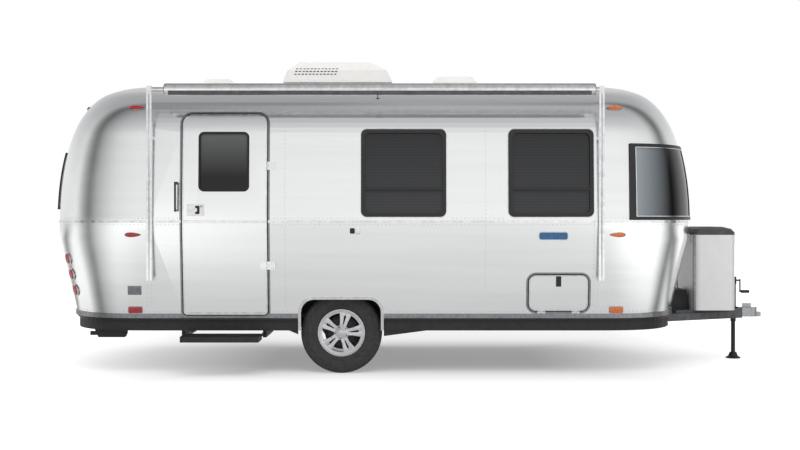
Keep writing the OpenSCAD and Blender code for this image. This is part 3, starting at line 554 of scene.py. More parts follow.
@dataclass
class Studio:
    """Camera, white studio world, soft lamps and a floor that keeps the caravan's shadow."""

    camera_at: tuple[float, float, float] = (-3.24, -10.82, 1.36)
    tilt_deg: float = 0.36
    lens_mm: float = 50.08
    sky: float = 0.78
    key_w: float = 300.0
    floor_size: float = 90.0
    # What metal and glass see from straight down to straight up, as a share of that height and a tone
    sky_tones: tuple[tuple[float, str], ...] = (
        (0.0, "#a8a8a8"), (0.47, "#e4e4e4"), (0.505, "#ffffff"), (0.563, "#ffffff"), (0.59, "#f2f2f3"),
        (0.65, "#e0e0e1"), (0.75, "#d0d0d1"), (0.90, "#b8b8ba"), (1.0, "#b2b2b4"))
    # Dark flags past the two ends, as a share of the full turn and a tone
    flags: tuple[tuple[float, str], ...] = (
        (0.20, "#eeeeee"), (0.25, "#f4f4f4"), (0.286, "#b0b0b0"), (0.322, "#6a6a6a"), (0.35, "#acacac"),
        (0.417, "#e6e6e6"), (0.50, "#ffffff"), (0.689, "#fafafa"), (0.722, "#c8c8c8"), (0.758, "#606060"),
        (0.789, "#c0c0c0"), (0.82, "#f4f4f4"))

    def build(self) -> None:
        """Place the camera, the world, the lamps and the floor."""
        bpy.context.scene.view_settings.view_transform = "Standard"
        self.camera()
        self.world()
        self.lamps()
        self.floor()

    def camera(self) -> None:
        """Stand the camera square to the door side, at the height of the belt line."""
        data = bpy.data.cameras.new("camera")
        data.lens = self.lens_mm
        data.sensor_width = 36.0
        data.clip_end = 200.0
        camera = bpy.data.objects.new("camera", data)
        camera.location = self.camera_at
        camera.rotation_euler = (math.radians(90 - self.tilt_deg), 0, 0)
        bpy.context.scene.collection.objects.link(camera)
        bpy.context.scene.camera = camera

    def flag(self, tree: bpy.types.NodeTree, x: bpy.types.Node | bpy.types.NodeSocket,
             y: bpy.types.Node | bpy.types.NodeSocket) -> bpy.types.Node:
        """Add the tone that metal and glass see in a direction, dark where a flag stands past an end.

        Args:
            tree: The node tree.
            x: Node or socket that gives the direction's part along the caravan.
            y: Node or socket that gives its part out to the side.

        Returns:
            The ramp node.
        """
        turn = add_node(tree, "ShaderNodeMath", {0: x, 1: y}, operation="ARCTAN2")
        share = add_node(tree, "ShaderNodeMapRange", {"Value": turn, "From Min": -math.pi, "From Max": math.pi})
        ramp = add_node(tree, "ShaderNodeValToRGB", {"Fac": share})
        set_ramp(ramp, self.flags)
        return ramp

    def world(self) -> None:
        """White to the camera; metal and glass see a white horizon, a greyer sky and the flags."""
        world = bpy.data.worlds.new("studio")
        bpy.context.scene.world = world
        world.use_nodes = True
        tree = world.node_tree
        tree.nodes.clear()
        where = add_node(tree, "ShaderNodeTexCoord").outputs["Generated"]
        parts = add_node(tree, "ShaderNodeSeparateXYZ", {0: where}).outputs
        share = add_node(tree, "ShaderNodeMapRange", {"Value": parts["Z"], "From Min": -1.0, "From Max": 1.0})
        tone = add_node(tree, "ShaderNodeValToRGB", {"Fac": share})
        set_ramp(tone, self.sky_tones)
        back = add_node(tree, "ShaderNodeMath", {0: parts["Y"], 1: -1.0}, operation="MULTIPLY")
        flag = self.flag(tree, parts["X"], back)
        path = add_node(tree, "ShaderNodeLightPath").outputs
        seen = add_node(tree, "ShaderNodeMath", {0: path["Is Glossy Ray"], 1: path["Is Transmission Ray"]},
                        operation="MAXIMUM")
        shiny = add_node(tree, "ShaderNodeBackground", {"Color": tone, "Strength": flag})
        soft = add_node(tree, "ShaderNodeBackground", {"Color": linear("#f2f2f2"), "Strength": self.sky})
        white = add_node(tree, "ShaderNodeBackground", {"Color": linear("#ffffff"), "Strength": 1.0})
        lit = add_node(tree, "ShaderNodeMixShader", {0: seen, 1: soft, 2: shiny})
        mix = add_node(tree, "ShaderNodeMixShader", {0: path["Is Camera Ray"], 1: lit, 2: white})
        add_node(tree, "ShaderNodeOutputWorld", {"Surface": mix})

    def lamps(self) -> None:
        """Hang a broad soft lamp over the door side and a weaker one at each end."""
        for name, place, aim, size, watts in (
            ("key", (-3.4, -6.5, 7.5), (-3.4, 0, 1.2), 7.0, self.key_w),
            ("front_fill", (5.5, -6.0, 4.0), (-1.2, 0, 1.2), 4.0, self.key_w * 0.25),
            ("rear_fill", (-11.5, -6.0, 4.0), (-5.6, 0, 1.2), 4.0, self.key_w * 0.25),
        ):
            data = bpy.data.lights.new(name, "AREA")
            data.shape = "DISK"
            data.size = size
            data.energy = watts
            lamp = bpy.data.objects.new(name, data)
            lamp.location = place
            lamp.visible_glossy = False
            lamp.rotation_euler = (Vector(aim) - Vector(place)).to_track_quat("-Z", "Y").to_euler()
            bpy.context.scene.collection.objects.link(lamp)

    def floor(self) -> None:
        """Lay a white floor whose own glow fades into the background, with only the shadow left on it."""
        bm = bmesh.new()
        bmesh.ops.create_grid(bm, x_segments=1, y_segments=1, size=self.floor_size / 2)
        mesh = bpy.data.meshes.new("floor")
        bm.to_mesh(mesh)
        bm.free()
        floor = bpy.data.objects.new("floor", mesh)
        floor.location = (-3.2, 0, 0)
        bpy.context.scene.collection.objects.link(floor)
        material, tree, shader = new_material("white_studio_floor")
        shader.inputs["Base Color"].default_value = linear("#c9c9c9")
        shader.inputs["Roughness"].default_value = 0.9
        shader.inputs["Specular IOR Level"].default_value = 0.0
        where = add_node(tree, "ShaderNodeTexCoord").outputs["Object"]
        x = add_node(tree, "ShaderNodeSeparateXYZ", {0: where}).outputs["X"]
        y = add_node(tree, "ShaderNodeSeparateXYZ", {0: where}).outputs["Y"]
        away = add_node(tree, "ShaderNodeMath", {0: y}, operation="ABSOLUTE")
        path = add_node(tree, "ShaderNodeLightPath").outputs
        white = linear("#ffffff")
        glow = add_node(tree, "ShaderNodeEmission", {"Color": white, "Strength": self.glow(tree, x, away)})
        shown = add_node(tree, "ShaderNodeAddShader", {0: shader, 1: glow})
        sheen = add_node(tree, "ShaderNodeEmission", {"Color": white, "Strength": self.sheen(tree, x, away)})
        plain = add_node(tree, "ShaderNodeMixShader", {0: path["Is Glossy Ray"], 1: shader, 2: sheen})
        mix = add_node(tree, "ShaderNodeMixShader", {0: path["Is Camera Ray"], 1: plain, 2: shown})
        tree.links.new(mix.outputs[0], tree.nodes["Material Output"].inputs["Surface"])
        mesh.materials.append(material)

    def fade(self, tree: bpy.types.NodeTree, value: bpy.types.Node, span: Box) -> bpy.types.Node:
        """Add a fade between two distances.

        Args:
            tree: The node tree.
            value: Node that gives the distance.
            span: The two distances in metres, then the level at each.

        Returns:
            The node.
        """
        names = ("From Min", "From Max", "To Min", "To Max")
        return add_node(tree, "ShaderNodeMapRange", {"Value": value, **dict(zip(names, span))})

    def glow(self, tree: bpy.types.NodeTree, x: bpy.types.NodeSocket, away: bpy.types.Node) -> bpy.types.Node:
        """Add the floor's own glow to the camera, which leaves the shadow near the caravan.

        Args:
            tree: The node tree.
            x: Place along the caravan.
            away: Distance from the middle plane.

        Returns:
            The node with its strength.
        """
        past = add_node(tree, "ShaderNodeMath", {0: x}, operation="ABSOLUTE")
        most = self.fade(tree, away, (1.4, 9.0, 0.22, 0.95))
        for value, span in ((away, (0.8, 1.7, 0.30, 0.54)), (past, (1.0, 4.4, 0.25, 0.95))):
            most = add_node(tree, "ShaderNodeMath", {0: most, 1: self.fade(tree, value, span)}, operation="MAXIMUM")
        return most

    def sheen(self, tree: bpy.types.NodeTree, x: bpy.types.NodeSocket, away: bpy.types.Node) -> bpy.types.Node:
        """Add the floor as metal and glass see it: brighter further out, dark where a flag stands.

        Args:
            tree: The node tree.
            x: Place along the caravan.
            away: Distance from the middle plane.

        Returns:
            The node with its strength.
        """
        held = add_node(tree, "ShaderNodeClamp", {"Value": x, "Min": -2.6, "Max": 2.3})
        past_end = add_node(tree, "ShaderNodeMath", {0: x, 1: held}, operation="SUBTRACT")
        before = add_node(tree, "ShaderNodeMath", {0: away, 1: 1.05}, operation="SUBTRACT")
        beyond = add_node(tree, "ShaderNodeMath", {0: past_end}, operation="ABSOLUTE")
        level = add_node(tree, "ShaderNodeMath", {0: self.fade(tree, away, (2.0, 9.0, 0.56, 0.88)),
                                                  1: self.fade(tree, beyond, (0.5, 3.0, 0.0, 0.65))})
        flag = self.flag(tree, past_end, before)
        return add_node(tree, "ShaderNodeMath", {0: level, 1: flag}, operation="MULTIPLY")


# ---------------------------------------------------------------- the caravan's shape


@dataclass(frozen=True)
class Shell:
    """The shell's outer surface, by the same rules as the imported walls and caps."""

    half_w: float = 1.219
    body_back: float = -6.413
    body_nose: float = -0.545
    cap_l: float = 1.0
    crown_z: float = 2.610
    belt_z: float = 1.330
    sill_z: float = 0.500
    sill_tuck: float = 0.069
    shoulder_tuck: float = 0.034
    shoulder_drop: float = 0.510
    shoulder_r: float = 0.420
    plan_power: float = 2.8
    rise_power: float = 2.1
    run_power: float = 3.2
    lean_drop: float = 0.160
    lean: float = 0.245

    @property
    def shoulder_z(self) -> float:
        """Height where the shoulder's curve begins."""
        return self.crown_z - self.shoulder_drop

    def join(self, end: End) -> float:
        """Where the straight walls end and a cap begins."""
        return self.body_nose - self.cap_l if end is End.FRONT else self.body_back + self.cap_l

    @property
    def shoulder(self) -> tuple[float, float, float]:
        """The shoulder's arc.

        Returns:
            Its centre as y and z, and the lean of the upper side in radians.
        """
        lean = math.atan(self.shoulder_tuck / (self.shoulder_z - self.belt_z))
        y = self.half_w - self.shoulder_tuck - self.shoulder_r * math.cos(lean)
        return y, self.shoulder_z - self.shoulder_r * math.sin(lean), lean

    @property
    def crown(self) -> tuple[float, float, float]:
        """The crown's arc.

        Returns:
            Its radius, the height of its centre, and the height where it meets the shoulder.
        """
        y, z, _ = self.shoulder
        rise = self.crown_z - z
        radius = (rise**2 + y**2 - self.shoulder_r**2) / (2 * (rise - self.shoulder_r))
        centre = self.crown_z - radius
        return radius, centre, z + self.shoulder_r * math.cos(math.atan2(y, z - centre))

    def half_width(self, z: float) -> float:
        """Half the body's width at a height.

        Args:
            z: Height above the ground.

        Returns:
            Distance from the middle plane to the skin.
        """
        y, centre, _ = self.shoulder
        radius, crown_centre, join = self.crown
        if z <= self.belt_z:
            return self.half_w - self.sill_tuck * (self.belt_z - z) / (self.belt_z - self.sill_z)
        if z <= self.shoulder_z:
            return self.half_w - self.shoulder_tuck * (z - self.belt_z) / (self.shoulder_z - self.belt_z)
        if z <= join:
            return y + math.sqrt(max(0.0, self.shoulder_r**2 - (z - centre) ** 2))
        return math.sqrt(max(0.0, radius**2 - (z - crown_centre) ** 2))

    def reach(self, z: float) -> float:
        """How far a cap stands out from its join at a height.

        Args:
            z: Height above the ground.

        Returns:
            Distance from the join to the cap's nose.
        """
        lean_z = self.belt_z - self.lean_drop
        if z < lean_z:
            return self.cap_l - (lean_z - z) * self.lean
        if z <= self.belt_z:
            return self.cap_l
        share = min(1.0, (z - self.belt_z) / (self.crown_z - self.belt_z))
        return self.cap_l * (1 - share**self.rise_power) ** (1 / self.run_power)

    def skin_y(self, x: float, z: float) -> float:
        """Half the width of the skin at a place along the body.

        Args:
            x: Place along the body.
            z: Height above the ground.

        Returns:
            Distance from the middle plane to the skin.
        """
        past = max(0.0, x - self.join(End.FRONT), self.join(End.REAR) - x)
        share = min(1.0, past / max(self.reach(z), 1e-9))
        return self.half_width(z) * (1 - share**self.plan_power) ** (1 / self.plan_power)

    def skin_x(self, y: float, z: float, end: End) -> float:
        """Where a cap's skin is along the body, at a distance from the middle.

        Args:
            y: Distance from the middle plane.
            z: Height above the ground.
            end: Which cap.

        Returns:
            The skin's x.
        """
        share = min(1.0, abs(y) / max(self.half_width(z), 1e-9))
        return self.join(end) + end.value * self.reach(z) * (1 - share**self.plan_power) ** (1 / self.plan_power)

    def flank(self, x: float, z: float, side: Side, out: float = 0.0) -> Vector:
        """A point on a side's skin, moved outwards.

        Args:
            x: Place along the body.
            z: Height above the ground.
            side: Which side.
            out: Distance outwards from the skin.

        Returns:
            The point.
        """
        slope = (self.half_width(z + 0.004) - self.half_width(z - 0.004)) / 0.008
        length = math.hypot(1, slope)
        return Vector((x, side.value * (self.skin_y(x, z) + out / length), z - slope * out / length))


def loft_cap(shell: Shell, end: End, scale: tuple[float, float, float] = (1.0, 1.0, 1.0), around: int = 72,
             rise: int = 44) -> BMesh:
    """Loft one end cap from the sill up to the crown: a ring edge is extruded upwards and follows the rule.

    Args:
        shell: The shell's rules.
        end: Which end.
        scale: Scale about the join and the sill, below 1 for the inner face.
        around: Steps from one side round to the other.
        rise: Steps between the belt and the crown.

    Returns:
        The bmesh of one open sheet, closed at the crown.
    """
    sill, belt = shell.sill_z, shell.belt_z
    below_crown = shell.crown_z - 0.0005
    levels = [sill, (sill + belt) / 2, belt - shell.lean_drop, belt - 0.08]
    levels += [belt + (below_crown - belt) * math.sin(math.pi / 2 * i / rise) for i in range(rise + 1)]
    power = 2 / shell.plan_power

    def ring(z: float) -> list[Vector]:
        """The cap's outline at a height.

        Args:
            z: Height above the ground, before scaling.

        Returns:
            Its points, from the door side round to the street side.
        """
        points = []
        for i in range(around + 1):
            t = -math.pi / 2 + math.pi * i / around
            x = shell.reach(z) * max(0.0, math.cos(t)) ** power * scale[0]
            y = shell.half_width(z) * math.copysign(abs(math.sin(t)) ** power, t) * scale[1]
            points.append(Vector((shell.join(end) + end.value * x, y, sill + (z - sill) * scale[2])))
        return points

    bm = bmesh.new()
    verts = [bm.verts.new(p) for p in ring(levels[0])]
    edges = [bm.edges.new(pair) for pair in zip(verts, verts[1:])]
    for z in levels[1:]:
        grown = bmesh.ops.extrude_edge_only(bm, edges=edges)["geom"]
        verts = [g for g in grown if isinstance(g, bmesh.types.BMVert)]
        edges = edges_among(bm, verts)
        for vert, place in zip(sorted(verts, key=lambda v: v.co.y), ring(z)):
            vert.co = place
    grown = bmesh.ops.extrude_edge_only(bm, edges=edges)["geom"]
    crown = sill + (shell.crown_z - sill) * scale[2]
    for vert in [g for g in grown if isinstance(g, bmesh.types.BMVert)]:
        vert.co = (shell.join(end), 0.0, crown)
    return bm


@dataclass
class ShellSkin:
    """The aluminium shell: smooth caps with their window openings, the walls and the roof."""

    frame: dict
    shell: Shell
    inner: tuple[float, float, float] = (0.95, 0.959, 0.9763)
    window_lap: float = 0.026

    def build(self) -> None:
        """Build the caps and smooth the flat-sided panels."""
        for end in End:
            self.cap(end)
        for node in ("wall_door_side", "wall_street_side", "roof_panel"):
            bm = cad_bm(self.frame, node)
            finished(bm, f"{node}_skin", ALUMINIUM, "aluminium", angle=22, replaces=node, outward=False)

    def cap(self, end: End) -> None:
        """Loft one cap, cut its window opening and close its thickness.

        Args:
            end: Which end.
        """
        name = "front" if end is End.FRONT else "rear"
        outer = loft_cap(self.shell, end)
        inner = loft_cap(self.shell, end, self.inner)
        self.cut_opening(outer, end)
        self.cut_opening(inner, end)
        join_into(outer, inner)
        self.close_gaps(outer)
        finished(outer, f"{name}_cap_skin", ALUMINIUM, "aluminium", replaces=f"{name}_cap")

    def cut_opening(self, bm: BMesh, end: End) -> None:
        """Cut a rectangular window opening out of a sheet with planes, and delete what is inside.

        Args:
            bm: The sheet.
            end: Which end.
        """
        lap = self.window_lap
        low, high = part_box("front_window" if end is End.FRONT else "rear_window")
        bounds = [("x", low.x + lap, 1)] if end is End.FRONT else [("y", low.y + lap, 1), ("y", high.y - lap, -1)]
        bounds += [("z", low.z + lap, 1), ("z", high.z - lap, -1)]
        axis = {"x": Vector((1, 0, 0)), "y": Vector((0, 1, 0)), "z": Vector((0, 0, 1))}
        for name, at, _ in bounds:
            geom = bm.verts[:] + bm.edges[:] + bm.faces[:]
            bmesh.ops.bisect_plane(bm, geom=geom, dist=1e-6, plane_co=axis[name] * at, plane_no=axis[name])
        gone = [f for f in bm.faces
                if all((getattr(f.calc_center_median(), name) - at) * sign > 0 for name, at, sign in bounds)
                and (end is End.FRONT or f.calc_center_median().x < self.shell.join(end))]
        bmesh.ops.delete(bm, geom=gone, context="FACES")

    def close_gaps(self, bm: BMesh) -> None:
        """Bridge the outer sheet's open edges to the inner sheet's.

        Args:
            bm: Both sheets.
        """
        bmesh.ops.remove_doubles(bm, verts=bm.verts, dist=MERGE)
        loops = edge_loops([e for e in bm.edges if e.is_boundary])
        loops.sort(key=loop_length, reverse=True)
        while len(loops) > 1:
            first = loops.pop(0)
            other = min(loops, key=lambda loop: (loop_centre(loop) - loop_centre(first)).length)
            loops.remove(other)
            bmesh.ops.bridge_loops(bm, edges=first + other)


def edge_loops(edges: Sequence[bmesh.types.BMEdge]) -> list[list[bmesh.types.BMEdge]]:
    """Sort boundary edges into connected loops.

    Args:
        edges: The open edges.

    Returns:
        One list of edges for each loop.
    """
    left = set(edges)
    loops = []
    while left:
        seed = left.pop()
        loop, stack = [seed], [seed]
        while stack:
            for vert in stack.pop().verts:
                for edge in vert.link_edges:
                    if edge in left:
                        left.remove(edge)
                        loop.append(edge)
                        stack.append(edge)
        loops.append(loop)
    return loops


def loop_centre(loop: Sequence[bmesh.types.BMEdge]) -> Vector:
    """The mean of a loop's points."""
    points = [v.co for e in loop for v in e.verts]
    return sum(points, Vector()) / len(points)


def loop_length(loop: Sequence[bmesh.types.BMEdge]) -> float:
    """How long a loop is, as a key to pair the loops by."""
    return sum(e.calc_length() for e in loop)


@dataclass
class Wheels:
    """Two tyres with tread and sidewall rings on five-spoke machined alloy rims."""

    groove_depth: float = 0.007
    spoke_r: float = 0.206
    slot_turn: float = 5.5
    gap_turn: float = 41.5
    spokes: int = 5

    def build(self) -> None:
        """Build both wheels."""
        for side, body in ((Side.STREET, "left_wheel"), (Side.DOOR, "right_wheel")):
            node = body.split("_")[0]
            low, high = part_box(f"{node}_tyre")
            centre = (low + high) / 2
            face = low.y if side is Side.DOOR else high.y
            place = Matrix.Translation((centre.x, face, centre.z))
            place @= Matrix.Rotation(math.radians(90) * -side.value, 4, "X")
            self.tyre(node, body, place, (high.z - low.z) / 2, high.y - low.y)
            self.rim(node, body, place, high.y - low.y)

    def tyre(self, node: str, body: str, place: Matrix, radius: float, width: float) -> None:
        """Turn the tyre's section, with grooves, sidewall rings and tread blocks.

        Args:
            node: Left or right.
            body: The body it rides on.
            place: From the wheel's own frame, whose +Z points outwards at the tyre's face.
            radius: The tyre's radius.
            width: Its width.
        """
        bead = self.spoke_r + 0.0005
        wall = [(0.0, -0.022), (0.006, -0.012), (0.012, -0.008), (0.022, -0.006), (0.024, -0.003), (0.034, -0.002),
                (0.036, -0.004)]
        shoulder = [(0.092, -0.0005), (0.089, 0.0), (0.060, 0.0), (0.057, -0.003), (0.034, -0.006),
                    (0.022, -0.010), (0.014, -0.016), (0.006, -0.025), (0.001, -0.038)]
        section = [(bead + r, z) for r, z in wall] + [(radius - r, z) for r, z in shoulder]
        tread = [(radius, -0.042)]
        for k in range(3):
            at = -width / 2 + (1 - k) * 0.042
            tread += [(radius, at + 0.006), (radius - self.groove_depth, at + 0.004),
                      (radius - self.groove_depth, at - 0.004), (radius, at - 0.006)]
        tread.append((radius, -width + 0.042))
        mirrored = [(r, -width - z) for r, z in reversed(section)]
        bm = spun(section + tread + mirrored + [section[0]], 120)
        self.cut_blocks(bm, radius, width)
        bm.transform(place)
        finished(bm, f"{node}_tyre_rubber", TYRE, "tyre", body, 28, f"{node}_tyre")

    def cut_blocks(self, bm: BMesh, radius: float, width: float) -> None:
        """Sink every second face of the tread's shoulders, so that it breaks up into blocks.

        Args:
            bm: The turned tyre, about the Z axis.
            radius: Its radius.
            width: Its width.
        """
        chosen = []
        for face in bm.faces:
            mid = face.calc_center_median()
            step = round(math.degrees(math.atan2(mid.y, mid.x)) / 3)
            on_top = abs(math.hypot(mid.x, mid.y) - radius) < 0.004 and face.calc_area() > 0.0001
            if on_top and step % 2 == 0 and abs(mid.z + width / 2) > 0.048:
                chosen.append(face)
        for face in chosen:
            bmesh.ops.inset_individual(bm, faces=[face], thickness=0.0025, depth=0.0)
            bmesh.ops.inset_individual(bm, faces=[face], thickness=0.0005, depth=-0.005)

    def rim(self, node: str, body: str, place: Matrix, width: float) -> None:
        """Build the rim: barrel, lip, five twin spokes, centre cap, nuts and the drum behind them.

        Args:
            node: Left or right.
            body: The body it rides on.
            place: From the wheel's own frame.
            width: The tyre's width.
        """
        r = self.spoke_r
        back = -width
        lip = [(r - 0.012, -0.030), (r - 0.010, -0.012), (r - 0.006, -0.009), (r, -0.010), (r, back + 0.010),
               (r - 0.006, back + 0.009), (r - 0.010, back + 0.012), (r - 0.022, -0.090), (r - 0.018, -0.034),
               (r - 0.012, -0.030)]
        metal = spun(lip, 96)
        for k in range(self.spokes):
            turn = Matrix.Rotation(math.radians(self.slot_turn + 360 / self.spokes * k), 4, "Z")
            for sign in (-1, 1):
                join_into(metal, self.spoke(sign), turn)
        join_into(metal, spun([(0.170, -0.034), (0.176, -0.030), (r - 0.010, -0.026), (r - 0.010, -0.050),
                               (0.172, -0.052), (0.170, -0.034)], 96))
        join_into(metal, spun([(0.0, -0.012), (0.026, -0.0125), (0.031, -0.015), (0.033, -0.022), (0.036, -0.024),
                               (0.060, -0.030), (0.066, -0.036), (0.066, -0.060), (0.0, -0.060)], 48))
        metal.transform(place)
        finished(metal, f"{node}_rim_alloy", CAST_ALLOY, "wheel_alloy", body, 32, f"{node}_rim")
        # Painted shade: the drum, its ring and its nuts take the dark grey that stands for the shade inside the wheel
        drum = spun([(0.0, -0.085), (0.120, -0.085), (0.128, -0.090), (0.150, -0.096), (0.150, back - 0.012),
                     (0.0, back - 0.012)], 64)
        join_into(drum, spun([(r - 0.016, -0.070), (r - 0.016, back + 0.02), (r - 0.020, back + 0.02),
                              (r - 0.020, -0.070), (r - 0.016, -0.070)], 64))
        for k in range(self.spokes):
            nut = bmesh.new()
            bmesh.ops.create_cone(nut, cap_ends=True, segments=6, radius1=0.0105, radius2=0.0085, depth=0.05,
                                  matrix=Matrix.Translation((0.048, 0, -0.052)))
            turn = Matrix.Rotation(math.radians(self.gap_turn + 360 / self.spokes * k), 4, "Z")
            join_into(drum, nut, turn)
        drum.transform(place)
        finished(drum, f"{node}_drum", DRUM_AND_POCKET_SHADE, "wheel_alloy", body, 32)

    def spoke(self, sign: int) -> BMesh:
        """Build one of a pair of spokes along +X, wide at the lip and joined at the hub.

        Args:
            sign: Which side of the pair's slot it is on.

        Returns:
            The bmesh.
        """
        bm = bmesh.new()
        inner, outer = 0.052, self.spoke_r - 0.008
        outline = [(inner, 0.0), (0.074, 0.0), (0.080, 0.0035), (0.146, 0.0085), (0.154, 0.0), (outer, 0.0),
                   (outer, 0.072), (0.172, 0.062), (0.166, 0.054), (0.096, 0.034), (inner, 0.031)]
        face = bm.faces.new([bm.verts.new((x, sign * y, -0.030)) for x, y in outline])
        back = extruded(bm, [face])
        bmesh.ops.translate(bm, verts=back, vec=(0, 0, -0.028))
        front = [v for v in bm.verts if v not in set(back)]
        for vert in front:
            share = (vert.co.x - inner) / (outer - inner)
            vert.co.z += 0.009 * math.sin(math.pi * min(1.0, share * 1.1)) - 0.004 * share
        edges = edges_among(bm, front)
        bmesh.ops.recalc_face_normals(bm, faces=bm.faces)
        rounded(bm, edges, 0.0035, 3)
        return bm


def skin_patch(shell: Shell, side: Side, outer: Sequence[Point], inner: Sequence[Point] | None = None,
               out: float = 0.0015, depth: float = 0.003) -> BMesh:
    """Make a sheet with a given outline that lies on a side's skin, with a hole if one is given.

    Args:
        shell: The shell's rules.
        side: Which side.
        outer: The outline as x and z.
        inner: A hole's outline with as many points, or None.
        out: How far the sheet's outer face stands off the skin.
        depth: Its thickness, inwards.

    Returns:
        The bmesh.
    """
    bm = bmesh.new()
    if inner:
        loops = []
        for line in (outer, inner):
            verts = [bm.verts.new((x, 0.0, z)) for x, z in line]
            loops += [bm.edges.new((verts[i - 1], verts[i])) for i in range(len(verts))]
        bmesh.ops.bridge_loops(bm, edges=loops)
    else:
        bm.faces.new([bm.verts.new((x, 0.0, z)) for x, z in outer])
    low, high = min(z for _, z in outer), max(z for _, z in outer)
    levels = [shell.belt_z, shell.shoulder_z]
    levels += [shell.shoulder_z + 0.02 * i for i in range(1, 20)]
    for z in levels:
        if low < z < high:
            geom = bm.verts[:] + bm.edges[:] + bm.faces[:]
            bmesh.ops.bisect_plane(bm, geom=geom, dist=1e-6, plane_co=(0, 0, z), plane_no=(0, 0, 1))
    for vert in bm.verts:
        vert.co = shell.flank(vert.co.x, vert.co.z, side, out)
    faces = bm.faces[:]
    bm.normal_update()
    normal_out = sum((f.normal * f.calc_area() for f in faces), Vector())
    if normal_out.y * side.value < 0:
        bmesh.ops.reverse_faces(bm, faces=faces)
    bmesh.ops.translate(bm, verts=extruded(bm, faces), vec=(0, -side.value * depth, 0))
    bmesh.ops.recalc_face_normals(bm, faces=bm.faces)
    return bm


def grown_rect(box: Box, grow: float, low: float, high: float) -> list[Point]:
    """Outline of a rounded rectangle, moved outwards with its corners.

    Args:
        box: Lowest x and z, then highest x and z.
        grow: How far to move the outline outwards.
        low: Radius of the lower corners.
        high: Radius of the upper corners.

    Returns:
        The points.
    """
    x0, z0, x1, z1 = box
    radii = [max(0.001, r + grow) for r in (low, high)]
    return round_rect(x0 - grow, z0 - grow, x1 + grow, z1 + grow, *radii)


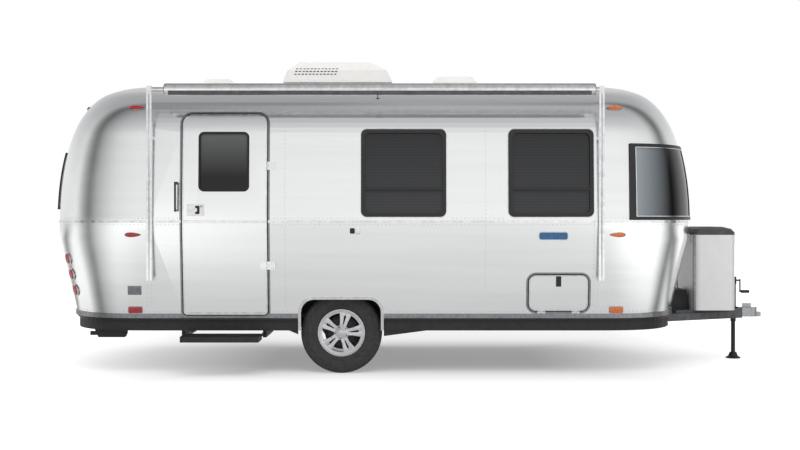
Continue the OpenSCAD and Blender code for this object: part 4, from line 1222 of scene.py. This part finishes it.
@dataclass
class Doors:
    """The outer sheets, seals and trims of the entry door and the storage hatch."""

    shell: Shell
    door: Box = (-5.129, 0.510, -4.379, 2.268)
    window: Box = (-4.974, 1.596, -4.551, 2.098)
    hatch: Box = (-2.132, 0.544, -1.599, 0.874)
    gap: float = 0.012

    def build(self) -> None:
        """Build the sheets, the dark seals in the gaps, the window's rubber and the door's handle."""
        self.sheet("door_sheet", "door", self.door, 0.040, 0.090, self.window)
        self.sheet("hatch_sheet", "hatch", self.hatch, 0.070, 0.070, None)
        self.seal("door_seal", self.door, 0.040, 0.090)
        self.seal("hatch_seal", self.hatch, 0.070, 0.070)
        rubber = skin_patch(self.shell, Side.DOOR, grown_rect(self.window, 0.008, 0.04, 0.04),
                            grown_rect(self.window, -0.010, 0.04, 0.04), 0.006, 0.016)
        finished(rubber, "door_window_rubber", RUBBER_SEAL, "black_plastic", "door", angle=35)
        for name, inset, low, high, out in (("door_belt_trim", 0.015, 1.318, 1.340, 0.007),
                                            ("door_foot_trim", 0.030, 0.525, 0.545, 0.006)):
            outline = plain_rect(self.door[0] + inset, low, self.door[2] - inset, high)
            strip = skin_patch(self.shell, Side.DOOR, outline, None, out, out - 0.001)
            finished(strip, name, BRIGHT, "bright_aluminium", "door", angle=35)
        self.handle()
        self.hinges()

    def sheet(self, name: str, body: str, box: Box, low: float, high: float,
              hole: Box | None) -> None:
        """Lay the outer sheet of a door, with a bright lip round its edge.

        Args:
            name: The piece's name.
            body: The body it rides on.
            box: The opening.
            low: Radius of the opening's lower corners.
            high: Radius of its upper corners.
            hole: The window's box, or None.
        """
        outer = grown_rect(box, -self.gap, low, high)
        inner = grown_rect(hole, 0.004, 0.04, 0.04) if hole else None
        finished(skin_patch(self.shell, Side.DOOR, outer, inner), name, ALUMINIUM, "aluminium", body, angle=25)
        lip = skin_patch(self.shell, Side.DOOR, grown_rect(box, -self.gap + 0.002, low, high),
                         grown_rect(box, -self.gap - 0.010, low, high), 0.0045, 0.004)
        finished(lip, f"{name}_lip", BRIGHT, "bright_aluminium", body, angle=30)

    def seal(self, name: str, box: Box, low: float, high: float) -> None:
        """Lay the dark rubber that shows in the gap round a door.

        Args:
            name: The piece's name.
            box: The opening.
            low: Radius of its lower corners.
            high: Radius of its upper corners.
        """
        ring = skin_patch(self.shell, Side.DOOR, grown_rect(box, 0.001, low, high),
                          grown_rect(box, -0.006, low, high), -0.002, 0.010)
        finished(ring, name, RUBBER_SEAL, "black_plastic", angle=30)
        # Painted shade: the frame's darker satin tone stands in for the shade round the opening's edge
        frame = skin_patch(self.shell, Side.DOOR, grown_rect(box, 0.014, low, high),
                           grown_rect(box, 0.0005, low, high), 0.0022, 0.003)
        finished(frame, f"{name}_frame", SATIN_AND_SHADE, "aluminium", angle=30)

    def handle(self) -> None:
        """Build the door's lock: a bright plate with a dark patch of painted shade for its recess, a paddle and a key
        barrel.
        """
        low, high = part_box("door_handle")
        x, z, top = low.x, low.z, high.z
        # Painted shade: the raised black patch stands for the shade in the lock's recess
        for name, outline, out, depth, finish, slot in (
            ("plate", round_rect(x, z, high.x, top, 0.012, 0.012), 0.012, 0.0115, BRIGHT, "bright_aluminium"),
            ("recess", round_rect(x + 0.074, z + 0.016, x + 0.112, top - 0.016, 0.008, 0.008), 0.0135, 0.004,
             PLASTIC_BLACK_AND_SHADE, "black_plastic"),
            ("paddle", round_rect(x + 0.016, z + 0.036, x + 0.092, top - 0.036, 0.010, 0.010), 0.019, 0.007,
             BRIGHT, "aluminium"),
        ):
            bm = skin_patch(self.shell, Side.DOOR, outline, None, out, depth)
            stands_in = "door_handle" if name == "plate" else ""
            finished(bm, f"door_lock_{name}", finish, slot, "door", 30, stands_in)
        ends = [self.shell.flank(high.x - 0.024, top - 0.022, Side.DOOR, out) for out in (0.010, 0.018)]
        finished(rod(*ends, 0.009, 24), "door_lock_barrel", ZINC, "zinc_steel", "door", 30)

    def hinges(self) -> None:
        """Set screws in the leaves of the two hinges."""
        face_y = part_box("hinge_brackets")[0].y + 0.0121
        bm = bmesh.new()
        for z in (0.950, 1.810):
            for dz in (-0.024, 0.012, -0.012, 0.024):
                for dx in (0.030, 0.048):
                    at = self.shell.flank(self.door[2] + dx, z + dz, Side.DOOR)
                    place = Matrix.Translation((at.x, face_y, at.z)) @ Matrix.Rotation(math.radians(90), 4, "X")
                    join_into(bm, dome(0.0042, 0.0028), place)
        finished(bm, "hinge_screws", ZINC, "zinc_steel")


def dome(radius: float, height: float, sides: int = 8) -> BMesh:
    """Make a low closed dome on the X-Y plane with its top towards +Z.

    Args:
        radius: Its radius.
        height: Its height.
        sides: Its sides.

    Returns:
        The bmesh.
    """
    bm = bmesh.new()
    bmesh.ops.create_cone(bm, cap_ends=True, segments=sides, radius1=radius, radius2=radius * 0.72,
                          depth=height * 0.6, matrix=Matrix.Translation((0, 0, height * 0.3)))
    top = max(bm.faces, key=lambda f: f.calc_center_median().z)
    bmesh.ops.inset_individual(bm, faces=[top], thickness=radius * 0.34, depth=height * 0.34)
    return bm


@dataclass
class Rivets:
    """Rows of buck rivets on the sheet joints, the ribs and along the trims."""

    shell: Shell
    pitch: float = 0.036
    radius: float = 0.0045
    height: float = 0.0022

    def build(self) -> None:
        """Set the rows on both sides and round both ends."""
        door = (-5.160, 0.48, -4.345, 2.30)
        hatch = (-2.165, 0.50, -1.565, 0.91)
        arch = (-4.165, 0.0, -3.345, 0.72)
        windows = [(-3.605, 1.34, -2.812, 2.16), (-2.332, 1.34, -1.540, 2.16)]
        street = [(-5.141, 1.34, -4.349, 2.16)]
        for side in Side:
            bm = bmesh.new()
            holes = [arch, *windows] + ([door, hatch] if side is Side.DOOR else street)
            for x, z in self.places(side):
                if any(a < x < c and b < z < d for a, b, c, d in holes):
                    continue
                self.set_rivet(bm, x, z, side)
            finished(bm, f"rivets_{side.name.lower()}_side", BRIGHT, "bright_aluminium", angle=50)

    def places(self, side: Side) -> list[Point]:
        """Places of all rivets on a side, as x and z.

        Args:
            side: Which side.

        Returns:
            The places.
        """
        found: list[Point] = []
        join_front, join_rear = self.shell.join(End.FRONT), self.shell.join(End.REAR)
        count = int((join_front - join_rear) / self.pitch)
        for z in (0.548, 1.302, 1.356, 2.395):
            found += [(join_rear + i * self.pitch, z) for i in range(count + 1)]
        beside = 0.018
        columns = [join_rear + beside, join_rear - beside, join_front - beside, join_front + beside, -4.235, -2.500]
        for x in columns:
            found += [(x, 0.60 + i * self.pitch) for i in range(int(1.80 / self.pitch))]
        for end in End:
            for z in (0.548, 1.302, 1.356):
                found += [(self.shell.join(end) + end.value * (0.05 + i * self.pitch), z) for i in range(22)]
        return found

    def set_rivet(self, bm: BMesh, x: float, z: float, side: Side) -> None:
        """Set one rivet square to the skin.

        Args:
            bm: The bmesh that grows.
            x: Place along the body.
            z: Height above the ground.
            side: Which side.
        """
        at = self.shell.flank(x, z, side)
        across = self.shell.flank(x + 0.002, z, side) - self.shell.flank(x - 0.002, z, side)
        up = self.shell.flank(x, z + 0.002, side) - self.shell.flank(x, z - 0.002, side)
        normal = across.cross(up) * -side.value
        turn = normal.to_track_quat("Z", "Y").to_matrix().to_4x4()
        join_into(bm, dome(self.radius, self.height, 6), Matrix.Translation(at) @ turn)


@dataclass
class Windows:
    """The wrap-round front window, the rear window, and the bright flanges of the side windows."""

    frame: dict
    shell: Shell
    proud: float = 0.019
    edge_w: float = 0.030
    pillar_y: float = 0.700
    side_w: float = 0.736
    side_xs: tuple[float, ...] = (-3.577, -2.304)
    street_x: float = -5.113

    def build(self) -> None:
        """Build the end windows with their frames, and the side windows' flanges."""
        low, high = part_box("front_window")
        self.wrapped(End.FRONT, "front_window", low.z, high.z, lambda z: self.edge_at(z, low.x))
        low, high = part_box("rear_window")
        half = (high.y - low.y) / 2
        self.wrapped(End.REAR, "rear_window", low.z, high.z, lambda z: self.angle_at(z, half))
        for side in Side:
            xs = self.side_xs + ((self.street_x,) if side is Side.STREET else ())
            for k, x in enumerate(xs):
                box = (x, 1.369, x + self.side_w, 2.127)
                ring = skin_patch(self.shell, side, grown_rect(box, 0.011, 0.05, 0.05),
                                  grown_rect(box, -0.002, 0.05, 0.05), 0.0035, 0.003)
                name = f"window_flange_{side.name.lower()}_{k + 1}"
                finished(ring, name, BRIGHT, "bright_aluminium", angle=30)

    def edge_at(self, z: float, x: float) -> float:
        """Outline angle of the front window's rear edge at a height."""
        share = (x - self.shell.join(End.FRONT)) / self.shell.reach(z)
        return math.acos(min(1.0, share ** (self.shell.plan_power / 2)))

    def angle_at(self, z: float, y: float) -> float:
        """Outline angle at a distance from the middle plane."""
        return math.asin(min(1.0, (y / self.shell.half_width(z)) ** (self.shell.plan_power / 2)))

    def point(self, end: End, turn: float, z: float, out: float) -> Vector:
        """A point off a cap's skin.

        Args:
            end: Which end.
            turn: Outline angle, from -90 degrees at the door side to 90 at the street side, in radians.
            z: Height above the ground.
            out: Distance outwards, level with the ground.

        Returns:
            The point.
        """
        power = 2 / self.shell.plan_power
        x = (self.shell.reach(z) + out) * max(0.0, math.cos(turn)) ** power
        y = (self.shell.half_width(z) + out) * math.copysign(abs(math.sin(turn)) ** power, turn)
        return Vector((self.shell.join(end) + end.value * x, y, z))

    def band(self, end: End, low: float, high: float, start: Callable[[float], float],
             stop: Callable[[float], float], out: float, depth: float, across: int = 64) -> BMesh:
        """Make a sheet on a cap between two heights and two outline angles.

        Args:
            end: Which end.
            low: Lowest height.
            high: Highest height.
            start: First angle at a height.
            stop: Last angle at a height.
            out: Outer face's distance from the skin.
            depth: Thickness.
            across: Cells along the outline.

        Returns:
            The bmesh.
        """
        rows = max(2, int((high - low) / 0.03))

        def place(u: float, v: float) -> Vector:
            """Carry a grid point onto the cap."""
            z = low + (high - low) * v
            return self.point(end, start(z) + (stop(z) - start(z)) * u, z, out)

        bm = mapped_sheet(across, rows, place)
        grown = bmesh.ops.extrude_face_region(bm, geom=bm.faces[:])["geom"]
        for vert in [g for g in grown if isinstance(g, bmesh.types.BMVert)]:
            inward = Vector((self.shell.join(end) - vert.co.x, -vert.co.y, 0)).normalized()
            vert.co += inward * depth
        return bm

    def wrapped(self, end: End, name: str, low: float, high: float, edge: Callable[[float], float]) -> None:
        """Build a cap's window: glass, black frame, bright inner line and, in front, two pillars.

        Args:
            end: Which end.
            name: The CAD node it replaces.
            low: Its lowest height.
            high: Its highest height.
            edge: The outline angle of its side edges at a height.
        """
        inset = 0.045
        glass = self.band(end, low + 0.004, high - 0.004, lambda z: -edge(z) + inset / 3,
                          lambda z: edge(z) - inset / 3, self.proud - 0.004, 0.006, 96)
        look = FRONT_GLASS if end is End.FRONT else REAR_GLASS
        finished(glass, f"{name}_glass", look, "tinted_glass", replaces=name)
        rim = bmesh.new()
        for a, b in ((low, low + self.edge_w), (high - self.edge_w, high)):
            join_into(rim, self.band(end, a, b, lambda z: -edge(z), edge, self.proud + 0.003, 0.012, 96))
        for sign in (-1, 1):
            join_into(rim, self.band(end, low + self.edge_w, high - self.edge_w, lambda z: sign * edge(z),
                                     lambda z: sign * (edge(z) - inset), self.proud + 0.003, 0.012, 4))
        finished(rim, f"{name}_frame", BLACK_TRIM, "window_frame")
        line = bmesh.new()
        for z in (low + self.edge_w, high - self.edge_w - 0.006):
            join_into(line, self.band(end, z, z + 0.006, lambda h: -edge(h) + inset, lambda h: edge(h) - inset,
                                      self.proud + 0.0036, 0.004, 96))
        for sign in (-1, 1):
            join_into(line, self.band(end, low + self.edge_w, high - self.edge_w,
                                      lambda h: sign * (edge(h) - inset), lambda h: sign * (edge(h) - inset * 1.14),
                                      self.proud + 0.0036, 0.004, 2))
        finished(line, f"{name}_line", BRIGHT, "bright_aluminium")
        if end is End.FRONT:
            pillars = bmesh.new()
            for sign in (-1, 1):
                join_into(pillars, self.band(end, low + self.edge_w, high - self.edge_w,
                                             lambda h: sign * self.angle_at(h, self.pillar_y - 0.014),
                                             lambda h: sign * self.angle_at(h, self.pillar_y + 0.014),
                                             self.proud + 0.0008, 0.006, 2))
            finished(pillars, "front_window_pillars", RUBBER_SEAL, "black_plastic")


@dataclass
class Lamps:
    """Teardrop side lamps, reflectors, end markers and tail lamps, each with its base."""

    frame: dict
    shell: Shell
    windows: Windows
    amber_xs: tuple[float, float, float] = (-1.361, -1.359, -1.373)
    red_xs: tuple[float, float, float] = (-5.539, -5.549, -5.533)
    heights: tuple[float, float, float] = (0.562, 1.215, 2.318)
    length: float = 0.132
    tall: float = 0.048

    def build(self) -> None:
        """Build the amber and red lamps, their bases and the tail lamps."""
        for name, finish, xs, tip in (("amber_lights", AMBER, self.amber_xs, -1), ("red_lights", RED, self.red_xs, 1)):
            lens, base = bmesh.new(), bmesh.new()
            for side in Side:
                for k, (x, z) in enumerate(zip(xs, self.heights)):
                    place = self.on_side(x, z, side)
                    if k == 0:
                        join_into(lens, self.block(0.118, 0.052, 0.007, 0.008, 0.010), place)
                        join_into(base, self.block(0.128, 0.060, 0.004, 0.0, 0.012), place)
                        continue
                    join_into(lens, self.drop(tip, 1.0, 0.006, 0.021), place)
                    join_into(base, self.drop(tip, 1.09, 0.0, 0.007), place)
            end = End.FRONT if tip < 0 else End.REAR
            ys, z = ((-0.260, 0.0, 0.260), 2.240) if end is End.FRONT else ((-0.560, 0.0, 0.560), 2.360)
            for y in ys:
                place = self.on_end(y, z, end)
                join_into(lens, self.block(0.084, 0.034, 0.005, 0.018, 0.012), place)
                join_into(base, self.block(0.092, 0.042, 0.0, 0.006, 0.014), place)
            slot = "amber_lens" if end is End.FRONT else "red_lens"
            finished(lens, f"{name}_lenses", finish, slot, replaces=name)
            finished(base, f"{name}_bases", ZINC, "bright_aluminium")
        self.tail()

    def on_side(self, x: float, z: float, side: Side) -> Matrix:
        """Place on a side's skin: local X along the body, Y up, Z outwards."""
        at = self.shell.flank(x, z, side)
        across = (self.shell.flank(x + 0.01, z, side) - self.shell.flank(x - 0.01, z, side)).normalized()
        up = (self.shell.flank(x, z + 0.01, side) - self.shell.flank(x, z - 0.01, side)).normalized()
        out = across.cross(up) * -side.value
        turn = Matrix((across, up, out)).transposed().to_4x4()
        return Matrix.Translation(at) @ turn

    def on_end(self, y: float, z: float, end: End) -> Matrix:
        """Place on an end's skin: local X across the body, Y up, Z outwards."""
        def at(dy: float, dz: float) -> Vector:
            """A point of the skin."""
            return Vector((self.shell.skin_x(y + dy, z + dz, end), y + dy, z + dz))

        across = (at(0.01, 0) - at(-0.01, 0)).normalized()
        up = (at(0, 0.01) - at(0, -0.01)).normalized()
        out = across.cross(up) * end.value
        return Matrix.Translation(at(0, 0)) @ Matrix((across, up, out)).transposed().to_4x4()

    def block(self, long: float, tall: float, low: float, high: float, corner: float) -> BMesh:
        """Make a rounded lens between two heights over the skin, or a plate if high is zero."""
        low, high = (0.0, low) if high == 0.0 else (min(low, high), max(low, high))
        points = round_rect(-long / 2, -tall / 2, long / 2, tall / 2, corner, corner, 5)
        bm = bmesh.new()
        face = bm.faces.new([bm.verts.new((x, y, low)) for x, y in points])
        grown = bmesh.ops.extrude_face_region(bm, geom=[face])["geom"]
        top = [g for g in grown if isinstance(g, bmesh.types.BMVert)]
        bmesh.ops.translate(bm, verts=top, vec=(0, 0, high - low))
        edges = [e for e in bm.edges if all(v in set(top) for v in e.verts)]
        bmesh.ops.bevel(bm, geom=edges, offset=min(0.004, (high - low) * 0.6), segments=3, affect="EDGES",
                        profile=0.5, material=-1)
        return bm

    def drop(self, tip: int, grow: float, low: float, high: float) -> BMesh:
        """Make a teardrop: blunt at one end, pointed at the other, crowned across.

        Args:
            tip: The sign of X of its pointed end.
            grow: Its scale.
            low: Its underside's height over the skin.
            high: Its crown's height.

        Returns:
            The bmesh.
        """
        half, tall = self.length / 2 * grow, self.tall / 2 * grow
        outline = []
        for i in range(28):
            t = math.tau * i / 28
            x = math.cos(t)
            outline.append((tip * half * x, tall * math.sin(t) * (1 - 0.45 * (x + 1) / 2) ** 1.0))
        bm = bmesh.new()
        face = bm.faces.new([bm.verts.new((x, y, low)) for x, y in outline])
        for share, rise in ((0.97, 0.45), (0.84, 0.8), (0.55, 1.0)):
            grown = bmesh.ops.extrude_face_region(bm, geom=[face])["geom"]
            verts = [g for g in grown if isinstance(g, bmesh.types.BMVert)]
            face = next(g for g in grown if isinstance(g, bmesh.types.BMFace))
            for vert, (x, y) in zip(sorted(verts, key=lambda v: math.atan2(v.co.y, tip * v.co.x) % math.tau),
                                    outline):
                vert.co = (x * share, y * share, low + (high - low) * rise)
        bmesh.ops.recalc_face_normals(bm, faces=bm.faces)
        return bm

    def tail(self) -> None:
        """Build the six tail lamps with their bright rims."""
        lens, base = bmesh.new(), bmesh.new()
        for y in (-0.880, 0.880):
            for z in (0.720, 0.860, 1.000):
                place = self.on_end(y, z, End.REAR)
                join_into(lens, spun([(0.0, 0.026), (0.030, 0.0245), (0.044, 0.019), (0.046, 0.004), (0.0, 0.004)],
                                     32), place)
                join_into(base, spun([(0.0, 0.001), (0.056, 0.001), (0.056, 0.007), (0.051, 0.011), (0.047, 0.011),
                                      (0.047, 0.006), (0.0, 0.006)], 40), place)
        finished(lens, "tail_lamp_lenses", RED, "red_lens", replaces="tail_lamps")
        finished(base, "tail_lamp_rims", BRIGHT, "bright_aluminium")


@dataclass
class Trim:
    """Small fittings: sill strip, stone guards, blank badge, outlet, louvre, awning ends and step ribs."""

    frame: dict
    shell: Shell
    lamps: Lamps

    def build(self) -> None:
        """Build the trims."""
        self.sill()
        self.guards()
        self.badge()
        self.fittings()
        self.awning()
        self.roof()
        self.tongue()
        self.step()

    def sill(self) -> None:
        """Cover the floor's edge with a dark strip on both sides of the arches."""
        bm = bmesh.new()
        for end, first in ((End.FRONT, -3.375), (End.REAR, -4.131)):
            join_into(bm, self.strip(end, first, 0.4697, 0.4905, 0.0045, 0.004))
        # Painted shade: the strip's near black stands for the shade along the floor's edge
        finished(bm, "sill_strip", UNDER_PAINTED_SHADE, "belly_sheet")
        door = skin_patch(self.shell, Side.DOOR, [(-5.139, 0.4700), (-4.369, 0.4700), (-4.369, 0.5085),
                                                  (-5.139, 0.5085)], None, 0.004, 0.003)
        finished(door, "door_sill_plate", SATIN_AND_SHADE, "aluminium")

    def strip(self, end: End, first: float, low: float, high: float, out: float, depth: float) -> BMesh:
        """Make a strip from one arch round an end to the other arch.

        Args:
            end: Which end.
            first: The strip's ends along the body.
            low: Its lowest height.
            high: Its highest height.
            out: Its distance off the skin's line.
            depth: Its thickness.

        Returns:
            The bmesh.
        """
        count = 40
        straight = 6

        def place(u: float, v: float) -> Vector:
            """Carry a grid point to the strip."""
            z = low + (high - low) * v
            step = round(u * (count + 2 * straight))
            if step <= straight or step >= count + straight:
                sign = -1 if step <= straight else 1
                share = (step if sign < 0 else count + 2 * straight - step) / straight
                x = first + (self.shell.join(end) - first) * share
                return Vector((x, sign * (self.shell.half_width(z) + out), z))
            turn = -math.pi / 2 + math.pi * (step - straight) / count
            return self.lamps.windows.point(end, turn, z, out)

        bm = mapped_sheet(count + 2 * straight, 1, place)
        grown = bmesh.ops.extrude_face_region(bm, geom=bm.faces[:])["geom"]
        for vert in [g for g in grown if isinstance(g, bmesh.types.BMVert)]:
            middle = Vector((min(max(vert.co.x, self.shell.join(End.REAR)), self.shell.join(End.FRONT)), 0, vert.co.z))
            vert.co += (middle - vert.co).normalized() * depth
        return bm

    def guards(self) -> None:
        """Hang the dark stone guards beside the wheels."""
        bm = bmesh.new()
        for side in Side:
            for points in ([(-3.381, 0.330), (-3.381, 0.420), (-3.007, 0.420), (-3.007, 0.379)],
                           [(-4.208, 0.379), (-4.208, 0.420), (-4.127, 0.420), (-4.127, 0.345)]):
                plate = outline_plate(points, 0.004, 0.001, 1)
                place = Matrix.Translation((0, side.value * 1.118, 0))
                join_into(bm, plate, place)
        finished(bm, "stone_guards", UNDER_PAINTED_SHADE, "belly_sheet")

    def badge(self) -> None:
        """Fix a plain blank enamelled plate to the door side."""
        plate = skin_patch(self.shell, Side.DOOR, round_rect(-2.040, 1.172, -1.790, 1.238, 0.018, 0.018, 8), None,
                           0.005, 0.004)
        finished(plate, "blank_plate", BLUE, "fitting_grey")
        ring = skin_patch(self.shell, Side.DOOR, round_rect(-2.046, 1.166, -1.784, 1.244, 0.024, 0.024, 8),
                          round_rect(-2.038, 1.174, -1.792, 1.236, 0.018, 0.018, 8), 0.0065, 0.006)
        finished(ring, "blank_plate_rim", BRIGHT, "bright_aluminium")

    def fittings(self) -> None:
        """Build the power inlet's cover and the vent's louvre."""
        cover = self.lamps.block(0.094, 0.060, 0.0, 0.010, 0.012)
        place = self.lamps.on_side(-3.629, 1.250, Side.DOOR)
        join_into(cover, self.lamps.block(0.030, 0.044, 0.010, 0.016, 0.008), Matrix.Translation((0.026, 0, 0)))
        cover.transform(place)
        finished(cover, "inlet_cover", PLASTIC_WHITE, "fitting_grey", replaces="side_fittings")
        # Painted shade: the black block stands for the shade in the inlet's mouth
        dark = self.lamps.block(0.042, 0.048, 0.008, 0.0125, 0.010)
        dark.transform(place @ Matrix.Translation((-0.022, 0, 0)))
        finished(dark, "inlet_mouth_shade", PLASTIC_BLACK_AND_SHADE, "black_plastic")
        low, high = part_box("grab_rail")
        x = (low.x + high.x) / 2
        rail = rod((x, low.y + 0.009, low.z + 0.012), (x, low.y + 0.009, high.z - 0.012), 0.0085, 20)
        for z in (low.z + 0.022, high.z - 0.022):
            join_into(rail, rod((x, low.y + 0.009, z), (x, high.y - 0.001, z), 0.0075, 16))
            join_into(rail, rod((x, high.y - 0.006, z), (x, high.y - 0.0005, z), 0.0125, 24))
        finished(rail, "grab_rail_bar", BLACK_TRIM, "zinc_steel", angle=50, replaces="grab_rail")
        louvre = self.lamps.block(0.120, 0.078, 0.0, 0.005, 0.006)
        for k in range(5):
            slat = box_bm((-0.050, -0.0055, 0.004), (0.050, 0.0035, 0.0105), 0.0015, 2)
            join_into(louvre, slat, Matrix.Translation((0, -0.028 + 0.014 * k, 0)))
        louvre.transform(self.lamps.on_side(-5.543, 0.732, Side.DOOR))
        finished(louvre, "louvre", SATIN_AND_SHADE, "fitting_grey")

    def awning(self) -> None:
        """Build the awning's rolled fabric edge, its end caps, ribs and pull hook."""
        low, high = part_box("awning_roller")
        y, z = (low.y + high.y) / 2, (low.z + high.z) / 2
        ends = bmesh.new()
        for x, turn in ((-5.258, -90), (-1.567, 90)):
            cap = spun([(0.0, 0.006), (0.046, 0.006), (0.0528, 0.0), (0.0528, -0.022), (0.0, -0.022)], 48)
            join_into(ends, cap, Matrix.Translation((x, y, z)) @ Matrix.Rotation(math.radians(turn), 4, "Y"))
        finished(ends, "awning_end_caps", PLASTIC_BLACK_AND_SHADE, "black_plastic")
        ribs = bmesh.new()
        for turn in (205, 262, 150):
            a = math.radians(turn)
            at = (y + 0.0515 * math.cos(a), z + 0.0515 * math.sin(a))
            join_into(ribs, rod((-5.235, *at), (-1.590, *at), 0.0035, 10))
        finished(ribs, "awning_ribs", BRIGHT, "bright_aluminium", angle=50)
        valance = box_bm((-5.225, y - 0.0505, z - 0.052), (-1.600, y - 0.0425, z - 0.010), 0.003, 2)
        finished(valance, "awning_valance", PLASTIC_GREY, "black_plastic")
        hook = rod((-3.43, y - 0.046, z - 0.085), (-3.43, y - 0.046, z - 0.030), 0.004, 10)
        join_into(hook, rod((-3.445, y - 0.046, z - 0.084), (-3.415, y - 0.046, z - 0.084), 0.004, 10))
        finished(hook, "awning_hook", PLASTIC_BLACK_AND_SHADE, "black_plastic", angle=50)

    def roof(self) -> None:
        """Build the air conditioner's grille slots."""
        low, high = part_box("air_conditioner")
        # Painted shade: each black bar stands for the shade inside a grille slot
        slots = bmesh.new()
        bpy.context.view_layer.update()
        shroud = self.frame["nodes"]["air_conditioner"]
        for row in range(3):
            for k in range(12):
                start = Vector((low.x + 0.115 + 0.034 * k + 0.008 * row, low.y - 0.1, low.z + 0.112 + 0.026 * row))
                hit, at, normal, _ = shroud.ray_cast(start, Vector((0, 1, 0)))
                if hit:
                    slot = box_bm((-0.011, -0.005, -0.004), (0.011, 0.005, 0.0008), 0.0004, 1)
                    turn = normal.to_track_quat("Z", "Y").to_matrix().to_4x4()
                    join_into(slots, slot, Matrix.Translation(at) @ turn)
        finished(slots, "air_conditioner_slot_shade", PLASTIC_BLACK_AND_SHADE, "black_plastic")

    def tongue(self) -> None:
        """Build the gas cover's edge strip, catches and the coupler's hand latch."""
        # Painted shade: the darker strips on the gas cover's rear edges stand in for the shade on its rounded rear
        # corners
        strip = bmesh.new()
        for side in (-1, 1):
            join_into(strip, box_bm((-0.472, side * 0.318 - 0.012, 0.492), (-0.452, side * 0.318 + 0.012, 1.196),
                                    0.003, 2))
        finished(strip, "gas_cover_edge_shade", SATIN_AND_SHADE, "aluminium")
        catch = box_bm((-0.0745, -0.020, 1.120), (-0.0660, 0.020, 1.190), 0.003, 2)
        join_into(catch, box_bm((-0.0745, -0.014, 1.176), (-0.0630, 0.014, 1.199), 0.002, 2))
        finished(catch, "gas_cover_catch", ZINC, "zinc_steel")
        lever = rod((0.110, 0.0, 0.500), (0.165, 0.0, 0.522), 0.007, 16)
        join_into(lever, rod((0.128, -0.022, 0.506), (0.128, 0.022, 0.506), 0.005, 16))
        finished(lever, "coupler_latch", ZINC, "zinc_steel")

    def step(self) -> None:
        """Lay grip ribs on the step's tread."""
        low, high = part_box("entry_step")
        bm = bmesh.new()
        for k in range(9):
            y = low.y + 0.022 + 0.024 * k
            join_into(bm, box_bm((low.x + 0.030, y, high.z - 0.0035), (high.x - 0.030, y + 0.008, high.z - 0.0002),
                                 0.0012, 1))
        del high
        finished(bm, "step_ribs", BLACK_TRIM, "chassis_paint", "step")


# ---------------------------------------------------------------- assembly


DRESS: dict[Finish | BlindGlass, tuple[str, ...]] = {
    ALUMINIUM: ("front_cap", "rear_cap", "wall_door_side", "wall_street_side", "roof_panel", "entry_door",
                "storage_hatch", "hinge_brackets"),
    BRIGHT: ("belt_trim", "wheel_arch_trims", "awning_roller", "awning_arms", "door_handle"),
    SATIN_AND_SHADE: ("rub_rail",),
    BLACK_TRIM: ("side_window_frames", "hatch_latch", "step_frame"),
    WINDOW: ("side_window_panes",),
    DOOR_GLASS: ("door_window",),
    FRONT_GLASS: ("front_window", "rear_window"),
    UNDER_PAINTED_SHADE: ("belly_pan", "belly_skirt", "wheel_housings"),
    BOARD: ("cabin_floor",),
    CHASSIS: ("chassis_frame", "axle", "stabiliser_brackets", "left_stabiliser_leg", "right_stabiliser_leg",
              "entry_step", "jack_tube", "jack_crank", "jack_leg"),
    FRAME_GREY: ("a_frame",),
    ZINC: ("coupler", "grab_rail"),
    CAST_ALLOY: ("left_rim", "right_rim"),
    TYRE: ("left_tyre", "right_tyre"),
    COVER_SILVER: ("gas_cover",),
    PLASTIC_GREY: ("gas_lid",),
    BOTTLE: ("gas_bottles",),
    PLASTIC_BLACK_AND_SHADE: ("battery_box",),
    PLASTIC_WHITE: ("air_conditioner", "roof_vents"),
    AMBER: ("amber_lights",),
    RED: ("red_lights", "tail_lamps"),
    PLATE: ("number_plate",),
    GREY_FITTING: ("side_fittings",),
}


def dress(frame: dict) -> None:
    """Give every CAD node its finish.

    Args:
        frame: The loaded frame.
    """
    for finish, nodes in DRESS.items():
        material = finish.build()
        for name in [n for n in nodes if n in frame["nodes"]]:
            slots = frame["nodes"][name].data.materials
            slots.clear()
            slots.append(material)


def main() -> None:
    """Build the studio and every sub-assembly, and report each piece."""
    logging.basicConfig(level=logging.INFO, format="%(message)s")
    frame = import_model()
    Studio().build()
    dress(frame)
    shell = Shell()
    ShellSkin(frame, shell).build()
    Wheels().build()
    Doors(shell).build()
    Rivets(shell).build()
    windows = Windows(frame, shell)
    windows.build()
    lamps = Lamps(frame, shell, windows)
    lamps.build()
    Trim(frame, shell, lamps).build()


if __name__ == "__main__":
    main()
